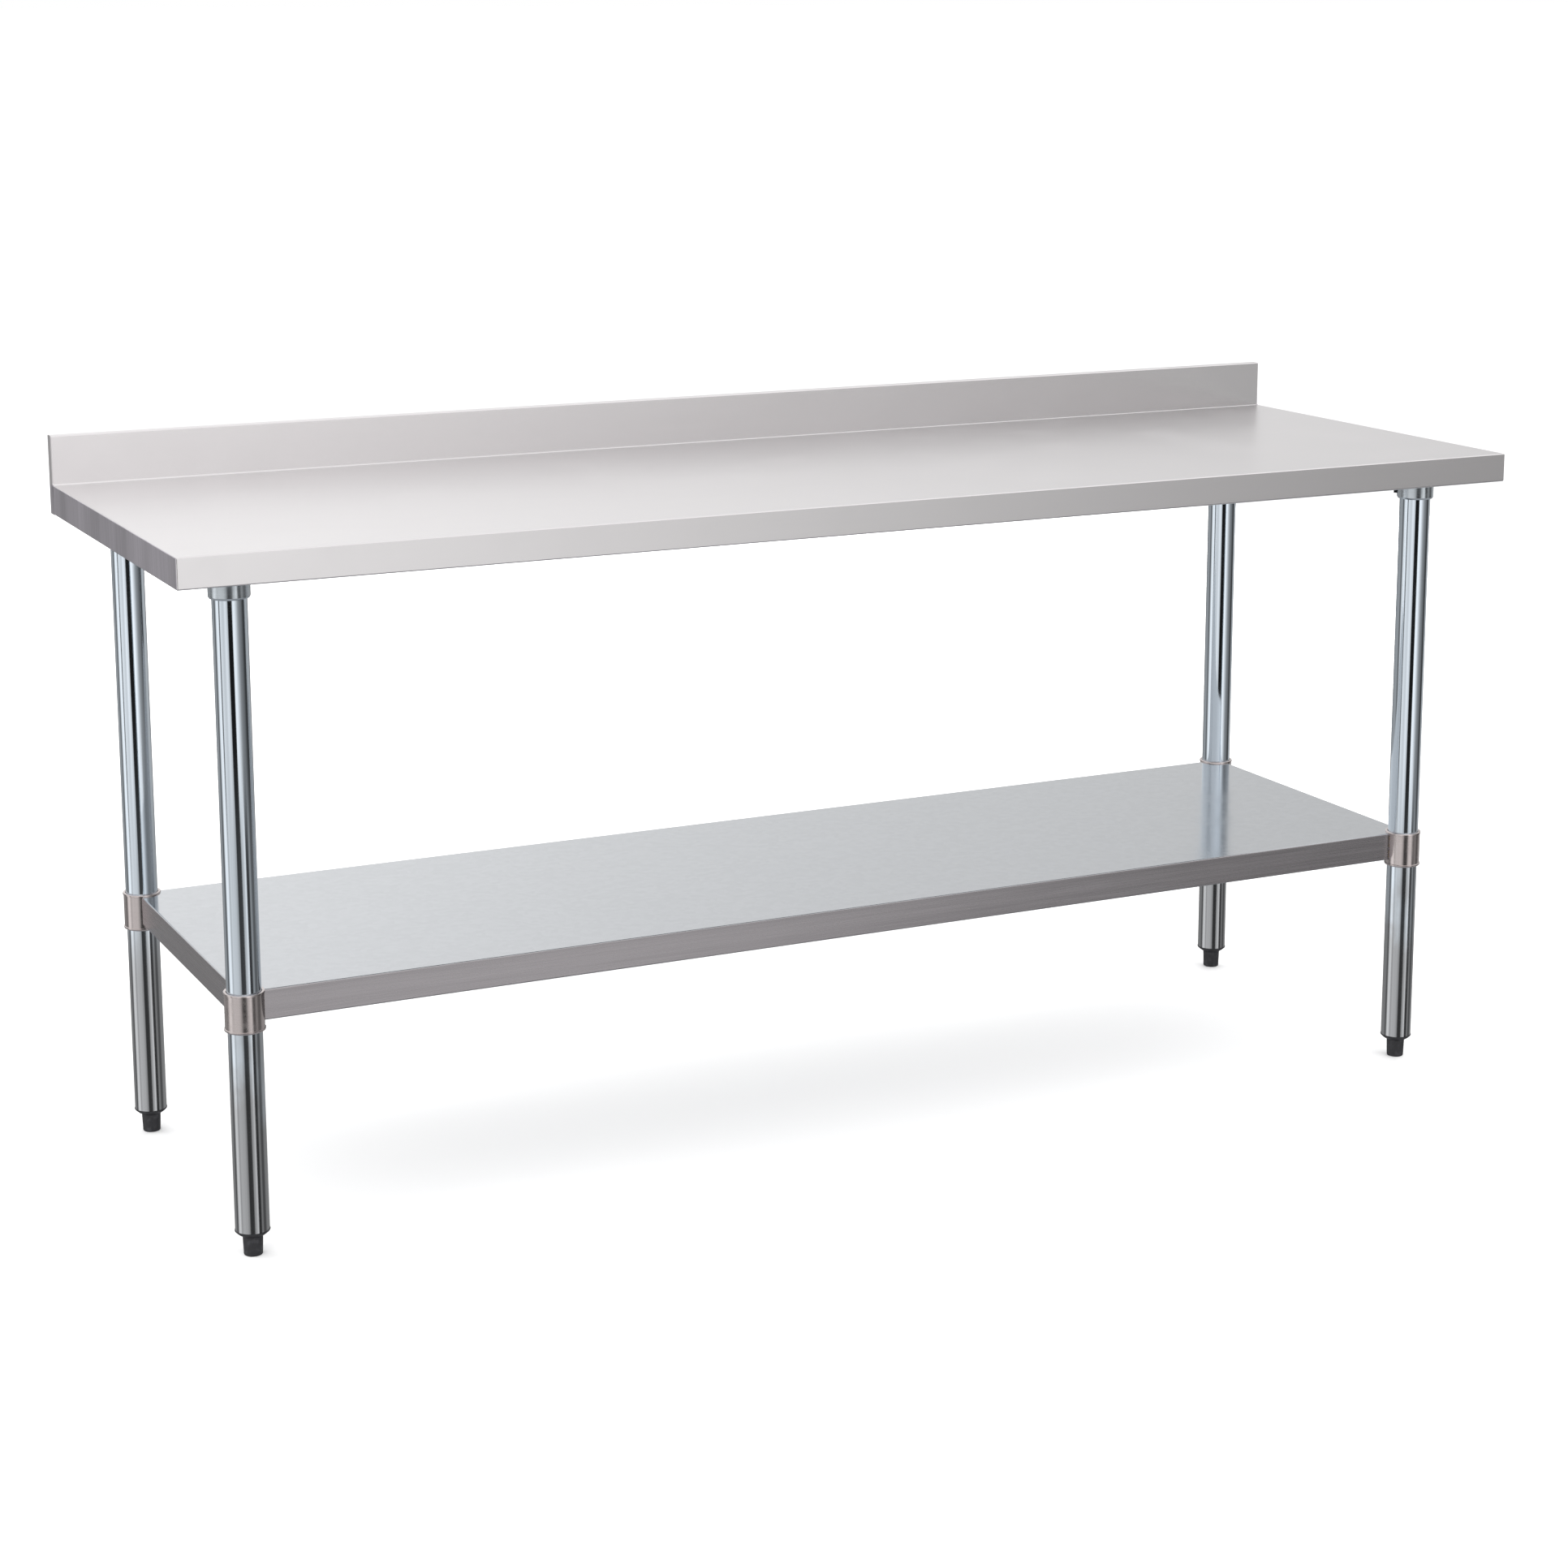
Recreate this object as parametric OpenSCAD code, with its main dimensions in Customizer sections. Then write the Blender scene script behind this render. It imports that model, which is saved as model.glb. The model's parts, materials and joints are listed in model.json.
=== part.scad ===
// Stainless work table with an upturned back, an adjustable undershelf and
// screw-adjusted feet. X runs along the table, -Y is the working side, +Y is
// the wall side, and Z is up from the floor. All sizes are in millimetres.

/* [Table] */
// Overall length of the table
table_l = 1829; // [1000:1:2440]
// Overall depth, from the front edge to the wall face
table_w = 610; // [500:1:760]
// Height of the work surface above the floor
work_h = 864; // [720:1:1050]

/* [Work top] */
// Thickness of the work top's stainless sheet
top_t = 1.2; // [0.8:0.1:1.5]
// Height of the turned-down edge
edge_drop = 38; // [32:1:60]
// Width of the lip folded in under the turned-down edge
edge_lip = 12; // [8:1:20]
// Outside radius of every fold in the sheet
fold_r = 2; // [1.8:0.1:4]
// Height of the upturned back above the work surface
splash_h = 63.5; // [40:0.5:150]
// Depth of the fold at the head of the upturned back
splash_depth = 15; // [12:1:40]
// Height of the lip behind that fold
splash_lip = 12; // [8:1:30]
// Inside radius where the work surface meets the upturned back
cove_r = 3; // [2:0.5:10]

/* [Stiffening channels] */
// Thickness of the galvanized channel sheet
hat_t = 1.2; // [0.8:0.1:1.5]
// Depth of a channel under the work top
hat_h = 25; // [20:1:30]
// Depth of the channel under the shelf
shelf_hat_h = 22; // [16:1:30]
// Width of the crown of the two lengthwise channels
long_hat_w = 50; // [40:1:70]
// Width of each foot flange of a channel
hat_foot = 16; // [12:1:25]

/* [Weld studs] */
// Diameter of a weld stud
weld_stud_d = 5; // [4:1:6]
// Length of a weld stud below the work top
weld_stud_l = 10; // [8:1:16]
// First stud to the end of its channel
weld_stud_inset = 40; // [20:1:80]

/* [Legs] */
// Outside diameter of a leg tube
leg_d = 41.3; // [34:0.1:50]
// Wall of a leg tube
leg_wall = 1.2; // [1:0.1:2]
// Leg centre to the end of the table
leg_from_end = 83; // [60:1:200]
// Front leg centre to the front edge
leg_from_front = 85; // [60:1:160]
// Rear leg centre to the wall face
leg_from_back = 52; // [50:1:160]

/* [Leg sockets] */
// Wall of a socket's cup
socket_wall = 3.6; // [3:0.1:6]
// Gap between a leg and its socket, on the radius
socket_gap = 0.3; // [0.2:0.1:1]
// Height of a socket, weld plate included
socket_h = 40; // [34:1:80]
// Thickness of the weld plate
plate_t = 3; // [2:0.5:5]
// Width of the weld plate outside the cup, on each side
plate_rim = 5.5; // [4:0.5:10]

/* [Undershelf] */
// Height of the shelf surface above the floor
shelf_h = 326; // [240:1:480]
// Thickness of the shelf sheet
shelf_t = 1; // [0.8:0.1:1.5]
// Height of the shelf's turned-down edge
shelf_drop = 38; // [32:1:60]
// Width of the lip folded in under that edge
shelf_lip = 12; // [8:1:20]
// Shelf end past the leg centres
shelf_past_end = 6; // [0:1:15]
// Shelf front and back past the leg centres
shelf_past_side = 1; // [0:1:15]
// Height of a corner collar
collar_h = 48; // [40:1:70]
// Height of a collar's rim above the shelf surface
collar_rise = 2; // [0:0.5:5]
// Wall of a collar
collar_wall = 3.3; // [2:0.1:5]
// Gap between a leg and its collar, on the radius
collar_gap = 0.5; // [0.3:0.1:2]

/* [Set screws] */
// Diameter of a set screw
screw_d = 8; // [5:1:10]
// How far a tightened set screw stands out
screw_out = 5; // [2:0.5:8]

/* [Feet] */
// Height of the tube end above the floor, with the foot screwed right in
foot_h = 32; // [28:1:50]
// Height of the insert's flared rim
flare_h = 7.5; // [6:0.5:12]
// Diameter of the foot at its top
foot_top_d = 25.5; // [21:0.5:32]
// Diameter of the foot at the floor
foot_end_d = 22.8; // [18:0.1:30]
// Diameter of the threaded stud
stud_d = 10; // [8:1:12]
// How far the foot screws out
foot_travel = 25; // [10:1:40]

/* [Hidden] */

$fn = 64;
more = 1;              // how far a cutting shape runs past what it cuts
mate_gap = 0.3;        // gap between pieces that move past each other
run_gap = 0.05;        // running gap of a stud in its thread or bore
corner_r = 2;          // inside corner allowance of a channel

// Work top levels and depths
edge_under = work_h - edge_drop;
top_under = work_h - top_t;
splash_top = work_h + splash_h;
splash_y = table_w / 2 - splash_depth;
cove_y = splash_y - cove_r;

// Sockets, and the channels that carry them
socket_bore_r = leg_d / 2 + socket_gap;
socket_r = socket_bore_r + socket_wall;
plate_w = 2 * (socket_r + plate_rim);
crown_under = top_under - hat_h;
socket_under = crown_under - socket_h;
socket_chamfer = 2.5;
rib_t = 3;
rib_h = socket_h / 2;
screw_up = screw_d + 1;                 // socket screw above the socket's end

// Leg places: sx is -1 at the left end, sy is -1 at the front
leg_x = table_l / 2 - leg_from_end;
leg_front_y = -table_w / 2 + leg_from_front;
leg_rear_y = table_w / 2 - leg_from_back;
leg_mid_y = (leg_front_y + leg_rear_y) / 2;
leg_span_y = leg_rear_y - leg_front_y;
leg_top = crown_under - plate_t;
CORNERS = [[-1, -1], [1, -1], [-1, 1], [1, 1]];
function leg_at(c) = [c[0] * leg_x, c[1] < 0 ? leg_front_y : leg_rear_y, 0];
function inward(c) = atan2(-c[1], -c[0]);   // towards the table's middle

// Channels under the top, and the studs that hold them
cross_front = -table_w / 2 + 2 * top_t + fold_r;
cross_back = cove_y - top_t;
long_end = leg_x - plate_w / 2 - hat_foot - more;
foot_mid = (hat_foot - hat_t) / 2;      // channel's side to its foot's middle
weld_nut_h = 0.8 * weld_stud_d;
weld_nut_w = 1.6 * weld_stud_d;         // across the flats
weld_nut_flange = 1;
function spread(a, b, n) = [for (i = [0:n - 1]) a + (b - a) * i / (n - 1)];
WELD_STUDS = concat(
    [for (sx = [-1, 1], f = [-1, 1],
          y = spread(cross_front + weld_stud_inset, cross_back - weld_stud_inset, 3))
        [sx * leg_x + f * (plate_w / 2 + foot_mid), y]],
    [for (f = [-1, 1],
          x = spread(-long_end + weld_stud_inset, long_end - weld_stud_inset, 4))
        [x, leg_mid_y + f * (long_hat_w / 2 + foot_mid)]]
);

// Shelf
shelf_l = 2 * (leg_x + shelf_past_end);
shelf_w = leg_span_y + 2 * shelf_past_side;
collar_bore_r = leg_d / 2 + collar_gap;
collar_r = collar_bore_r + collar_wall;
collar_top = shelf_h + collar_rise;
collar_under = collar_top - collar_h;
collar_chamfer = 1;
shelf_screw_z = collar_under + collar_h / 2;

// Feet
plug_r = leg_d / 2 - leg_wall - 0.15;
plug_h = 26;
plug_ring_h = 2.4;
plug_rings = 4;
flare_r = leg_d / 2 + 0.6;
flare_under = foot_h - flare_h;
nut_h = 0.8 * stud_d;
nut_w = 1.7 * stud_d;                   // across the flats
nut_gap = 0.1;
tip_top = flare_under - mate_gap;
tip_round = 1.5;
socket_end = 0.42 * tip_top;            // floor of the stud's bore in the tip
wrench_w = 0.945 * foot_top_d;          // across the tip's six flats
stud_top = foot_h + plug_h + foot_travel;

// ---- shared shapes ---------------------------------------------------------

// Draws a (Y, Z) outline along X, over a length centred on X = 0.
module along_x(length) {
    rotate([90, 0, 90]) linear_extrude(height = length, center = true) children();
}

// Draws an (X, Z) outline along Y, over a length centred on Y = 0.
module along_y(length) {
    rotate([90, 0, 0]) linear_extrude(height = length, center = true) children();
}

// A rectangle with round corners, its lower left corner at the origin.
module round_plate(w, h, r) {
    translate([r, 0]) square([w - 2 * r, h]);
    translate([0, r]) square([w, h - 2 * r]);
    for (x = [r, w - r], y = [r, h - r])
        translate([x, y]) circle(r = r);
}

// A quarter turn of sheet about the origin, starting at an angle.
module quarter_bend(r, t, start) {
    intersection() {
        difference() {
            circle(r = r);
            circle(r = r - t);
        }
        rotate(start) square(r + more);
    }
}

// A block with round long edges that a folded pan fills, made smaller all
// round by inset. The open side of a three-sided pan runs past its end.
module pan_block(l, y0, y1, z0, z1, r, inset) {
    w = y1 - y0 - 2 * inset;
    h = z1 - z0 - 2 * inset;
    intersection() {
        along_x(l + 2 * more)
            translate([y0 + inset, z0 + inset]) round_plate(w, h, r - inset);
        translate([0, (y0 + y1) / 2, 0]) along_y(y1 - y0 + 2 * more)
            translate([-l / 2 + inset, z0 + inset])
                round_plate(l - 2 * inset, h, r - inset);
    }
}

// A sheet pan, open below, with its rim turned down and folded in.
module folded_pan(l, y0, y1, z0, z1, t, lip, r) {
    difference() {
        pan_block(l, y0, y1, z0, z1, r, 0);
        pan_block(l, y0, y1, z0, z1, r, t);
        translate([-l / 2 + lip, y0 + lip, z0 - more])
            cube([l - 2 * lip, y1 - y0 - 2 * lip, t + 2 * more]);
    }
}

// A hat section, its feet against Z = 0 and its crown below.
module hat_outline(crown, h, foot, t) {
    r = t + corner_r;
    difference() {
        translate([-crown / 2, -h]) round_plate(crown, h + r, r);
        translate([-crown / 2 + t, -h + t])
            round_plate(crown - 2 * t, h + r, corner_r);
        translate([-crown / 2 - more, 0]) square([crown + 2 * more, r + more]);
    }
    for (s = [-1, 1])
        translate([s > 0 ? crown / 2 - t : -crown / 2 - foot + t, -t])
            square([foot, t]);
}

// A hexagonal outline of a given width across its flats.
module hexagon(w) {
    circle(r = w / sqrt(3), $fn = 6);
}

// A set screw pointing at a leg, its tip at tip_r from the leg's axis.
module set_screw(tip_r, out_r) {
    length = out_r - tip_r;
    key_w = screw_d / 2;
    translate([tip_r, 0, 0]) rotate([0, 90, 0]) difference() {
        union() {
            cylinder(d1 = screw_d - 2, d2 = screw_d, h = 1);
            translate([0, 0, 1]) cylinder(d = screw_d, h = length - 1);
        }
        translate([0, 0, length - key_w]) linear_extrude(height = key_w + more)
            hexagon(key_w);
    }
}

// ---- work top --------------------------------------------------------------

// The upturned back: cove, upright, head fold and rear lip.
module splash_outline() {
    translate([cove_y, work_h + cove_r]) quarter_bend(cove_r + top_t, top_t, -90);
    translate([splash_y, work_h + cove_r])
        square([top_t, splash_top - fold_r - work_h - cove_r]);
    translate([splash_y + fold_r, splash_top - fold_r])
        quarter_bend(fold_r, top_t, 90);
    translate([splash_y + fold_r, splash_top - top_t])
        square([splash_depth - 2 * fold_r, top_t]);
    translate([table_w / 2 - fold_r, splash_top - fold_r])
        quarter_bend(fold_r, top_t, 0);
    translate([table_w / 2 - top_t, splash_top - splash_lip])
        square([top_t, splash_lip - fold_r]);
}

// One sheet: turned down at the front and both ends, turned up at the back.
module worktop() {
    rear = table_w / 2 + 2 * edge_lip;
    color([0.83, 0.83, 0.82]) union() {
        intersection() {
            folded_pan(table_l, -table_w / 2, rear, edge_under, work_h,
                       top_t, edge_lip, fold_r);
            translate([-table_l, -table_w, 0])
                cube([2 * table_l, table_w + cove_y, 2 * work_h]);
        }
        along_x(table_l - 2 * top_t) splash_outline();
    }
}

// The plate that closes one end of the upturned back, down to the rim.
module splash_end(side) {
    color([0.80, 0.80, 0.79])
    translate([side * (table_l - top_t) / 2, 0, 0]) along_x(top_t) {
        translate([cove_y, edge_under])
            square([table_w / 2 - cove_y, edge_drop]);
        difference() {
            translate([cove_y, work_h])
                square([splash_y + fold_r - cove_y, cove_r]);
            translate([cove_y, work_h + cove_r]) circle(r = cove_r);
        }
        translate([splash_y + fold_r, work_h])
            square([splash_depth - fold_r, cove_r]);
        translate([splash_y, work_h + cove_r])
            square([splash_depth, splash_h - cove_r - fold_r]);
        translate([splash_y + fold_r, splash_top - fold_r])
            square([splash_depth - 2 * fold_r, fold_r]);
        for (y = [splash_y + fold_r, table_w / 2 - fold_r])
            translate([y, splash_top - fold_r]) circle(r = fold_r);
    }
}

// The holes that a channel's feet have for the weld studs.
module weld_stud_holes() {
    for (p = WELD_STUDS)
        translate([p[0], p[1], top_under - 2 * hat_t])
            cylinder(d = weld_stud_d + 2 * mate_gap, h = 3 * hat_t);
}

// A channel across the table, over one pair of legs.
module cross_channel(side) {
    color([0.72, 0.75, 0.77]) difference() {
        translate([side * leg_x, (cross_front + cross_back) / 2, top_under])
            along_y(cross_back - cross_front)
                hat_outline(plate_w, hat_h, hat_foot, hat_t);
        weld_stud_holes();
    }
}

// The channel along the middle of the work top, between the cross channels.
module long_channel() {
    color([0.72, 0.75, 0.77]) difference() {
        translate([0, leg_mid_y, top_under])
            along_x(2 * long_end)
                hat_outline(long_hat_w, hat_h, hat_foot, hat_t);
        weld_stud_holes();
    }
}

// The studs welded under the work top, through the channels' feet.
module weld_studs() {
    color([0.72, 0.72, 0.70])
    for (p = WELD_STUDS)
        translate([p[0], p[1], top_under - weld_stud_l])
            cylinder(d = weld_stud_d, h = weld_stud_l);
}

// The flanged nuts that pull the channels up against the work top.
module weld_stud_nuts() {
    color([0.62, 0.62, 0.60])
    for (p = WELD_STUDS)
        translate([p[0], p[1], top_under - hat_t - weld_nut_h]) difference() {
            union() {
                linear_extrude(height = weld_nut_h) hexagon(weld_nut_w);
                translate([0, 0, weld_nut_h - weld_nut_flange])
                    cylinder(r = foot_mid - mate_gap, h = weld_nut_flange);
            }
            translate([0, 0, -more])
                cylinder(d = weld_stud_d + 2 * run_gap, h = weld_nut_h + 2 * more);
        }
}

// ---- leg sockets and legs --------------------------------------------------

// A cup under a weld plate, with four ribs and a set screw hole.
module leg_socket(c) {
    rib_run = plate_w / sqrt(2) - socket_r - plate_rim / 2;
    color([0.70, 0.73, 0.76])
    translate(leg_at(c)) difference() {
        union() {
            translate([-plate_w / 2, -plate_w / 2, crown_under - plate_t])
                cube([plate_w, plate_w, plate_t]);
            translate([0, 0, socket_under + socket_chamfer])
                cylinder(r = socket_r, h = socket_h - socket_chamfer - plate_t / 2);
            translate([0, 0, socket_under])
                cylinder(r1 = socket_r - socket_chamfer / 2, r2 = socket_r,
                         h = socket_chamfer);
            for (a = [45:90:315])
                rotate([0, 0, a])
                translate([socket_r - socket_wall / 2, 0, crown_under - plate_t])
                rotate([90, 0, 0])
                linear_extrude(height = rib_t, center = true)
                    polygon([[0, plate_t / 2], [0, -rib_h],
                             [socket_wall / 2, -rib_h],
                             [rib_run, 0], [rib_run, plate_t / 2]]);
        }
        translate([0, 0, socket_under - more])
            cylinder(r = socket_bore_r, h = socket_h - plate_t + more);
        translate([0, 0, socket_under + screw_up]) rotate([0, 0, inward(c)])
            rotate([0, 90, 0])
                cylinder(d = screw_d + 2 * run_gap, h = 2 * socket_r);
    }
}

// The four screws that clamp the legs in their sockets.
module socket_set_screws() {
    color([0.25, 0.25, 0.27])
    for (c = CORNERS)
        translate(leg_at(c) + [0, 0, socket_under + screw_up])
            rotate([0, 0, inward(c)])
                set_screw(leg_d / 2, socket_r + screw_out);
}

// A leg tube, from the foot insert's rim up into its socket.
module leg(c) {
    color([0.66, 0.72, 0.77])
    translate(leg_at(c) + [0, 0, foot_h]) difference() {
        cylinder(d = leg_d, h = leg_top - foot_h);
        translate([0, 0, -more])
            cylinder(r = leg_d / 2 - leg_wall, h = leg_top - foot_h + 2 * more);
    }
}

// ---- feet ------------------------------------------------------------------

// The plastic plug in a leg's end, with a flared rim and a pocket for a nut.
module foot_insert(c) {
    pitch = (plug_h - plug_ring_h) / (plug_rings - 1);
    color([0.07, 0.07, 0.08])
    translate(leg_at(c)) difference() {
        union() {
            translate([0, 0, flare_under]) rotate_extrude()
                polygon([[0, 0], [foot_top_d / 2 + 0.6, 0],
                         [flare_r - 0.8, 0.75 * flare_h],
                         [flare_r, 0.85 * flare_h],
                         [flare_r, flare_h], [0, flare_h]]);
            translate([0, 0, foot_h]) cylinder(r = plug_r - 1.5, h = plug_h);
            for (i = [0:plug_rings - 1])
                translate([0, 0, foot_h + i * pitch])
                    cylinder(r = plug_r, h = plug_ring_h);
        }
        translate([0, 0, flare_under - more])
            cylinder(d = stud_d + 0.8, h = flare_h + plug_h + 2 * more);
        translate([0, 0, foot_h + plug_h - nut_h])
            linear_extrude(height = nut_h + more) hexagon(nut_w + 2 * nut_gap);
    }
}

// The four steel nuts in the pockets of the inserts.
module foot_nuts() {
    color([0.62, 0.62, 0.60])
    for (c = CORNERS)
        translate(leg_at(c) + [0, 0, foot_h + plug_h - nut_h])
            linear_extrude(height = nut_h) difference() {
                hexagon(nut_w);
                circle(d = stud_d + 2 * run_gap);
            }
}

// The threaded stud that a foot climbs on.
module foot_stud(c) {
    low = socket_end + mate_gap;
    color([0.62, 0.62, 0.60])
    translate(leg_at(c)) {
        translate([0, 0, low]) cylinder(d = stud_d, h = stud_top - low - more);
        translate([0, 0, stud_top - more])
            cylinder(d1 = stud_d, d2 = stud_d - 2 * more, h = more);
    }
}

// The tapered plastic foot, with six wrench flats.
module foot_tip(c) {
    color([0.07, 0.07, 0.08])
    translate(leg_at(c)) difference() {
        intersection() {
            union() {
                cylinder(r1 = foot_end_d / 2 - tip_round,
                         r2 = foot_end_d / 2, h = tip_round);
                translate([0, 0, tip_round])
                    cylinder(d1 = foot_end_d, d2 = foot_top_d,
                             h = tip_top - tip_round);
            }
            linear_extrude(height = tip_top) hexagon(wrench_w);
        }
        translate([0, 0, socket_end])
            cylinder(d = stud_d + 2 * run_gap, h = tip_top);
    }
}

// ---- undershelf ------------------------------------------------------------

// One sheet with its rim turned down, cut away round the corner collars.
module undershelf() {
    y0 = leg_front_y - shelf_past_side;
    color([0.78, 0.80, 0.81]) difference() {
        folded_pan(shelf_l, y0, y0 + shelf_w, shelf_h - shelf_drop, shelf_h,
                   shelf_t, shelf_lip, fold_r);
        for (c = CORNERS)
            translate(leg_at(c) + [0, 0, collar_under])
                cylinder(r = collar_r, h = 2 * collar_h);
    }
}

// The channel along the middle of the shelf.
module shelf_channel() {
    end = leg_x + shelf_past_end - shelf_t - fold_r - shelf_lip;
    color([0.72, 0.75, 0.77])
    translate([0, leg_mid_y, shelf_h - shelf_t])
        along_x(2 * end)
            hat_outline(long_hat_w, shelf_hat_h, hat_foot, hat_t);
}

// A ring that slides on a leg and carries one corner of the shelf.
module shelf_collar(c) {
    color([0.74, 0.72, 0.72])
    translate(leg_at(c)) difference() {
        union() {
            translate([0, 0, collar_under])
                cylinder(r1 = collar_r - collar_chamfer, r2 = collar_r,
                         h = collar_chamfer);
            translate([0, 0, collar_under + collar_chamfer])
                cylinder(r = collar_r, h = collar_h - 2 * collar_chamfer);
            translate([0, 0, collar_top - collar_chamfer])
                cylinder(r1 = collar_r, r2 = collar_r - collar_chamfer / 2,
                         h = collar_chamfer);
        }
        translate([0, 0, collar_under - more])
            cylinder(r = collar_bore_r, h = collar_h + 2 * more);
        translate([0, 0, shelf_screw_z]) rotate([0, 0, inward(c)])
            rotate([0, 90, 0])
                cylinder(d = screw_d + 2 * run_gap, h = 2 * collar_r);
    }
}

// The four screws that clamp the collars to the legs.
module shelf_set_screws() {
    color([0.25, 0.25, 0.27])
    for (c = CORNERS)
        translate(leg_at(c) + [0, 0, shelf_screw_z]) rotate([0, 0, inward(c)])
            set_screw(leg_d / 2 + mate_gap, collar_r + screw_out);
}

// ---- nodes -----------------------------------------------------------------

worktop();
splash_end(-1);  // splash_end_left
splash_end(1);  // splash_end_right
cross_channel(-1);  // cross_channel_left
cross_channel(1);  // cross_channel_right
long_channel();
weld_studs();
weld_stud_nuts();
leg_socket(CORNERS[0]);  // leg_socket_front_left
leg_socket(CORNERS[1]);  // leg_socket_front_right
leg_socket(CORNERS[2]);  // leg_socket_rear_left
leg_socket(CORNERS[3]);  // leg_socket_rear_right
socket_set_screws();
leg(CORNERS[0]);  // leg_front_left
leg(CORNERS[1]);  // leg_front_right
leg(CORNERS[2]);  // leg_rear_left
leg(CORNERS[3]);  // leg_rear_right
foot_insert(CORNERS[0]);  // foot_insert_front_left
foot_insert(CORNERS[1]);  // foot_insert_front_right
foot_insert(CORNERS[2]);  // foot_insert_rear_left
foot_insert(CORNERS[3]);  // foot_insert_rear_right
foot_nuts();
undershelf();
shelf_channel();
shelf_collar(CORNERS[0]);  // shelf_collar_front_left
shelf_collar(CORNERS[1]);  // shelf_collar_front_right
shelf_collar(CORNERS[2]);  // shelf_collar_rear_left
shelf_collar(CORNERS[3]);  // shelf_collar_rear_right
shelf_set_screws();
foot_stud(CORNERS[0]);  // foot_stud_front_left
foot_stud(CORNERS[1]);  // foot_stud_front_right
foot_stud(CORNERS[2]);  // foot_stud_rear_left
foot_stud(CORNERS[3]);  // foot_stud_rear_right
foot_tip(CORNERS[0]);  // foot_tip_front_left
foot_tip(CORNERS[1]);  // foot_tip_front_right
foot_tip(CORNERS[2]);  // foot_tip_rear_left
foot_tip(CORNERS[3]);  // foot_tip_rear_right
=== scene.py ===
"""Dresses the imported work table: folded sheets, turned fittings, threads, welds and their finishes."""

import json
import math

import bmesh
import bpy
from mathutils import Matrix, Vector


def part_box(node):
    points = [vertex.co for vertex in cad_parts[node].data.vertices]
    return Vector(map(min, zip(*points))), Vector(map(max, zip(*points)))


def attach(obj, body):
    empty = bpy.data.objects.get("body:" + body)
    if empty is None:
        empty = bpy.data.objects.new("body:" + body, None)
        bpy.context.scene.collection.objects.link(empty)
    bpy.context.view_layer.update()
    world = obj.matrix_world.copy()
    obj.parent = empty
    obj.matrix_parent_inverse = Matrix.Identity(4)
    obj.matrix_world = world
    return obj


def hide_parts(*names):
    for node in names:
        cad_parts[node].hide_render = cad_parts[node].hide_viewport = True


bl_info = {
    "name": "Stainless Work Table",
    "version": (1, 0, 0),
    "blender": (4, 5, 0),
    "location": "View3D > Sidebar > Work Table",
    "description": "Folded sheet, turned fittings, threads and finishes of a stainless work table",
    "category": "Add Mesh",
}

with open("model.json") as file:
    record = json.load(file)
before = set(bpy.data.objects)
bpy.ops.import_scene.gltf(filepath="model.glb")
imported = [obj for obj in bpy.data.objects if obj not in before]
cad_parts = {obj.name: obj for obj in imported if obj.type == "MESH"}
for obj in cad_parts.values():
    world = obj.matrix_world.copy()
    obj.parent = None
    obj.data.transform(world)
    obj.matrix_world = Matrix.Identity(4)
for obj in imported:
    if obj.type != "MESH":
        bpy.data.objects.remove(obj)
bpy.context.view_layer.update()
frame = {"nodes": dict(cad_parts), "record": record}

# ---------------------------------------------------------------- places read from the frame

CORNERS = ("front_left", "front_right", "rear_left", "rear_right")
MOUNTS = {m["name"]: Vector(m["pos_m"]) for m in frame["record"]["mounts"]}
WORK_Z = MOUNTS["work_surface"].z
SHELF_Z = MOUNTS["shelf_surface"].z
FULL_TURN = 2 * math.pi
MM = 0.001


def span(node):
    """Lowest corner, highest corner and middle of a CAD node."""
    low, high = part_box(node)
    return low, high, (low + high) / 2


def leg_axis(corner):
    """The point on the floor under the middle of a leg."""
    middle = span("leg_" + corner)[2]
    return Vector((middle.x, middle.y, 0))


def inward(corner):
    """The heading from a leg towards the middle of the table."""
    axis = leg_axis(corner)
    return Vector((-math.copysign(1, axis.x), 1 if corner.startswith("front") else -1, 0)).normalized()


# ---------------------------------------------------------------- sizes and finishes to change


def length(name, description, default):
    """A property that holds a length in metres."""
    return bpy.props.FloatProperty(
        name=name, description=description, default=default, min=0.0, precision=5, subtype="DISTANCE", unit="LENGTH"
    )


def colour(name, description, default):
    """A property that holds a colour."""
    return bpy.props.FloatVectorProperty(
        name=name, description=description, default=default, min=0.0, max=1.0, size=3, subtype="COLOR"
    )


def share(name, description, default, top=1.0):
    """A property that holds a plain number from 0 to top."""
    return bpy.props.FloatProperty(name=name, description=description, default=default, min=0.0, max=top)


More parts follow.
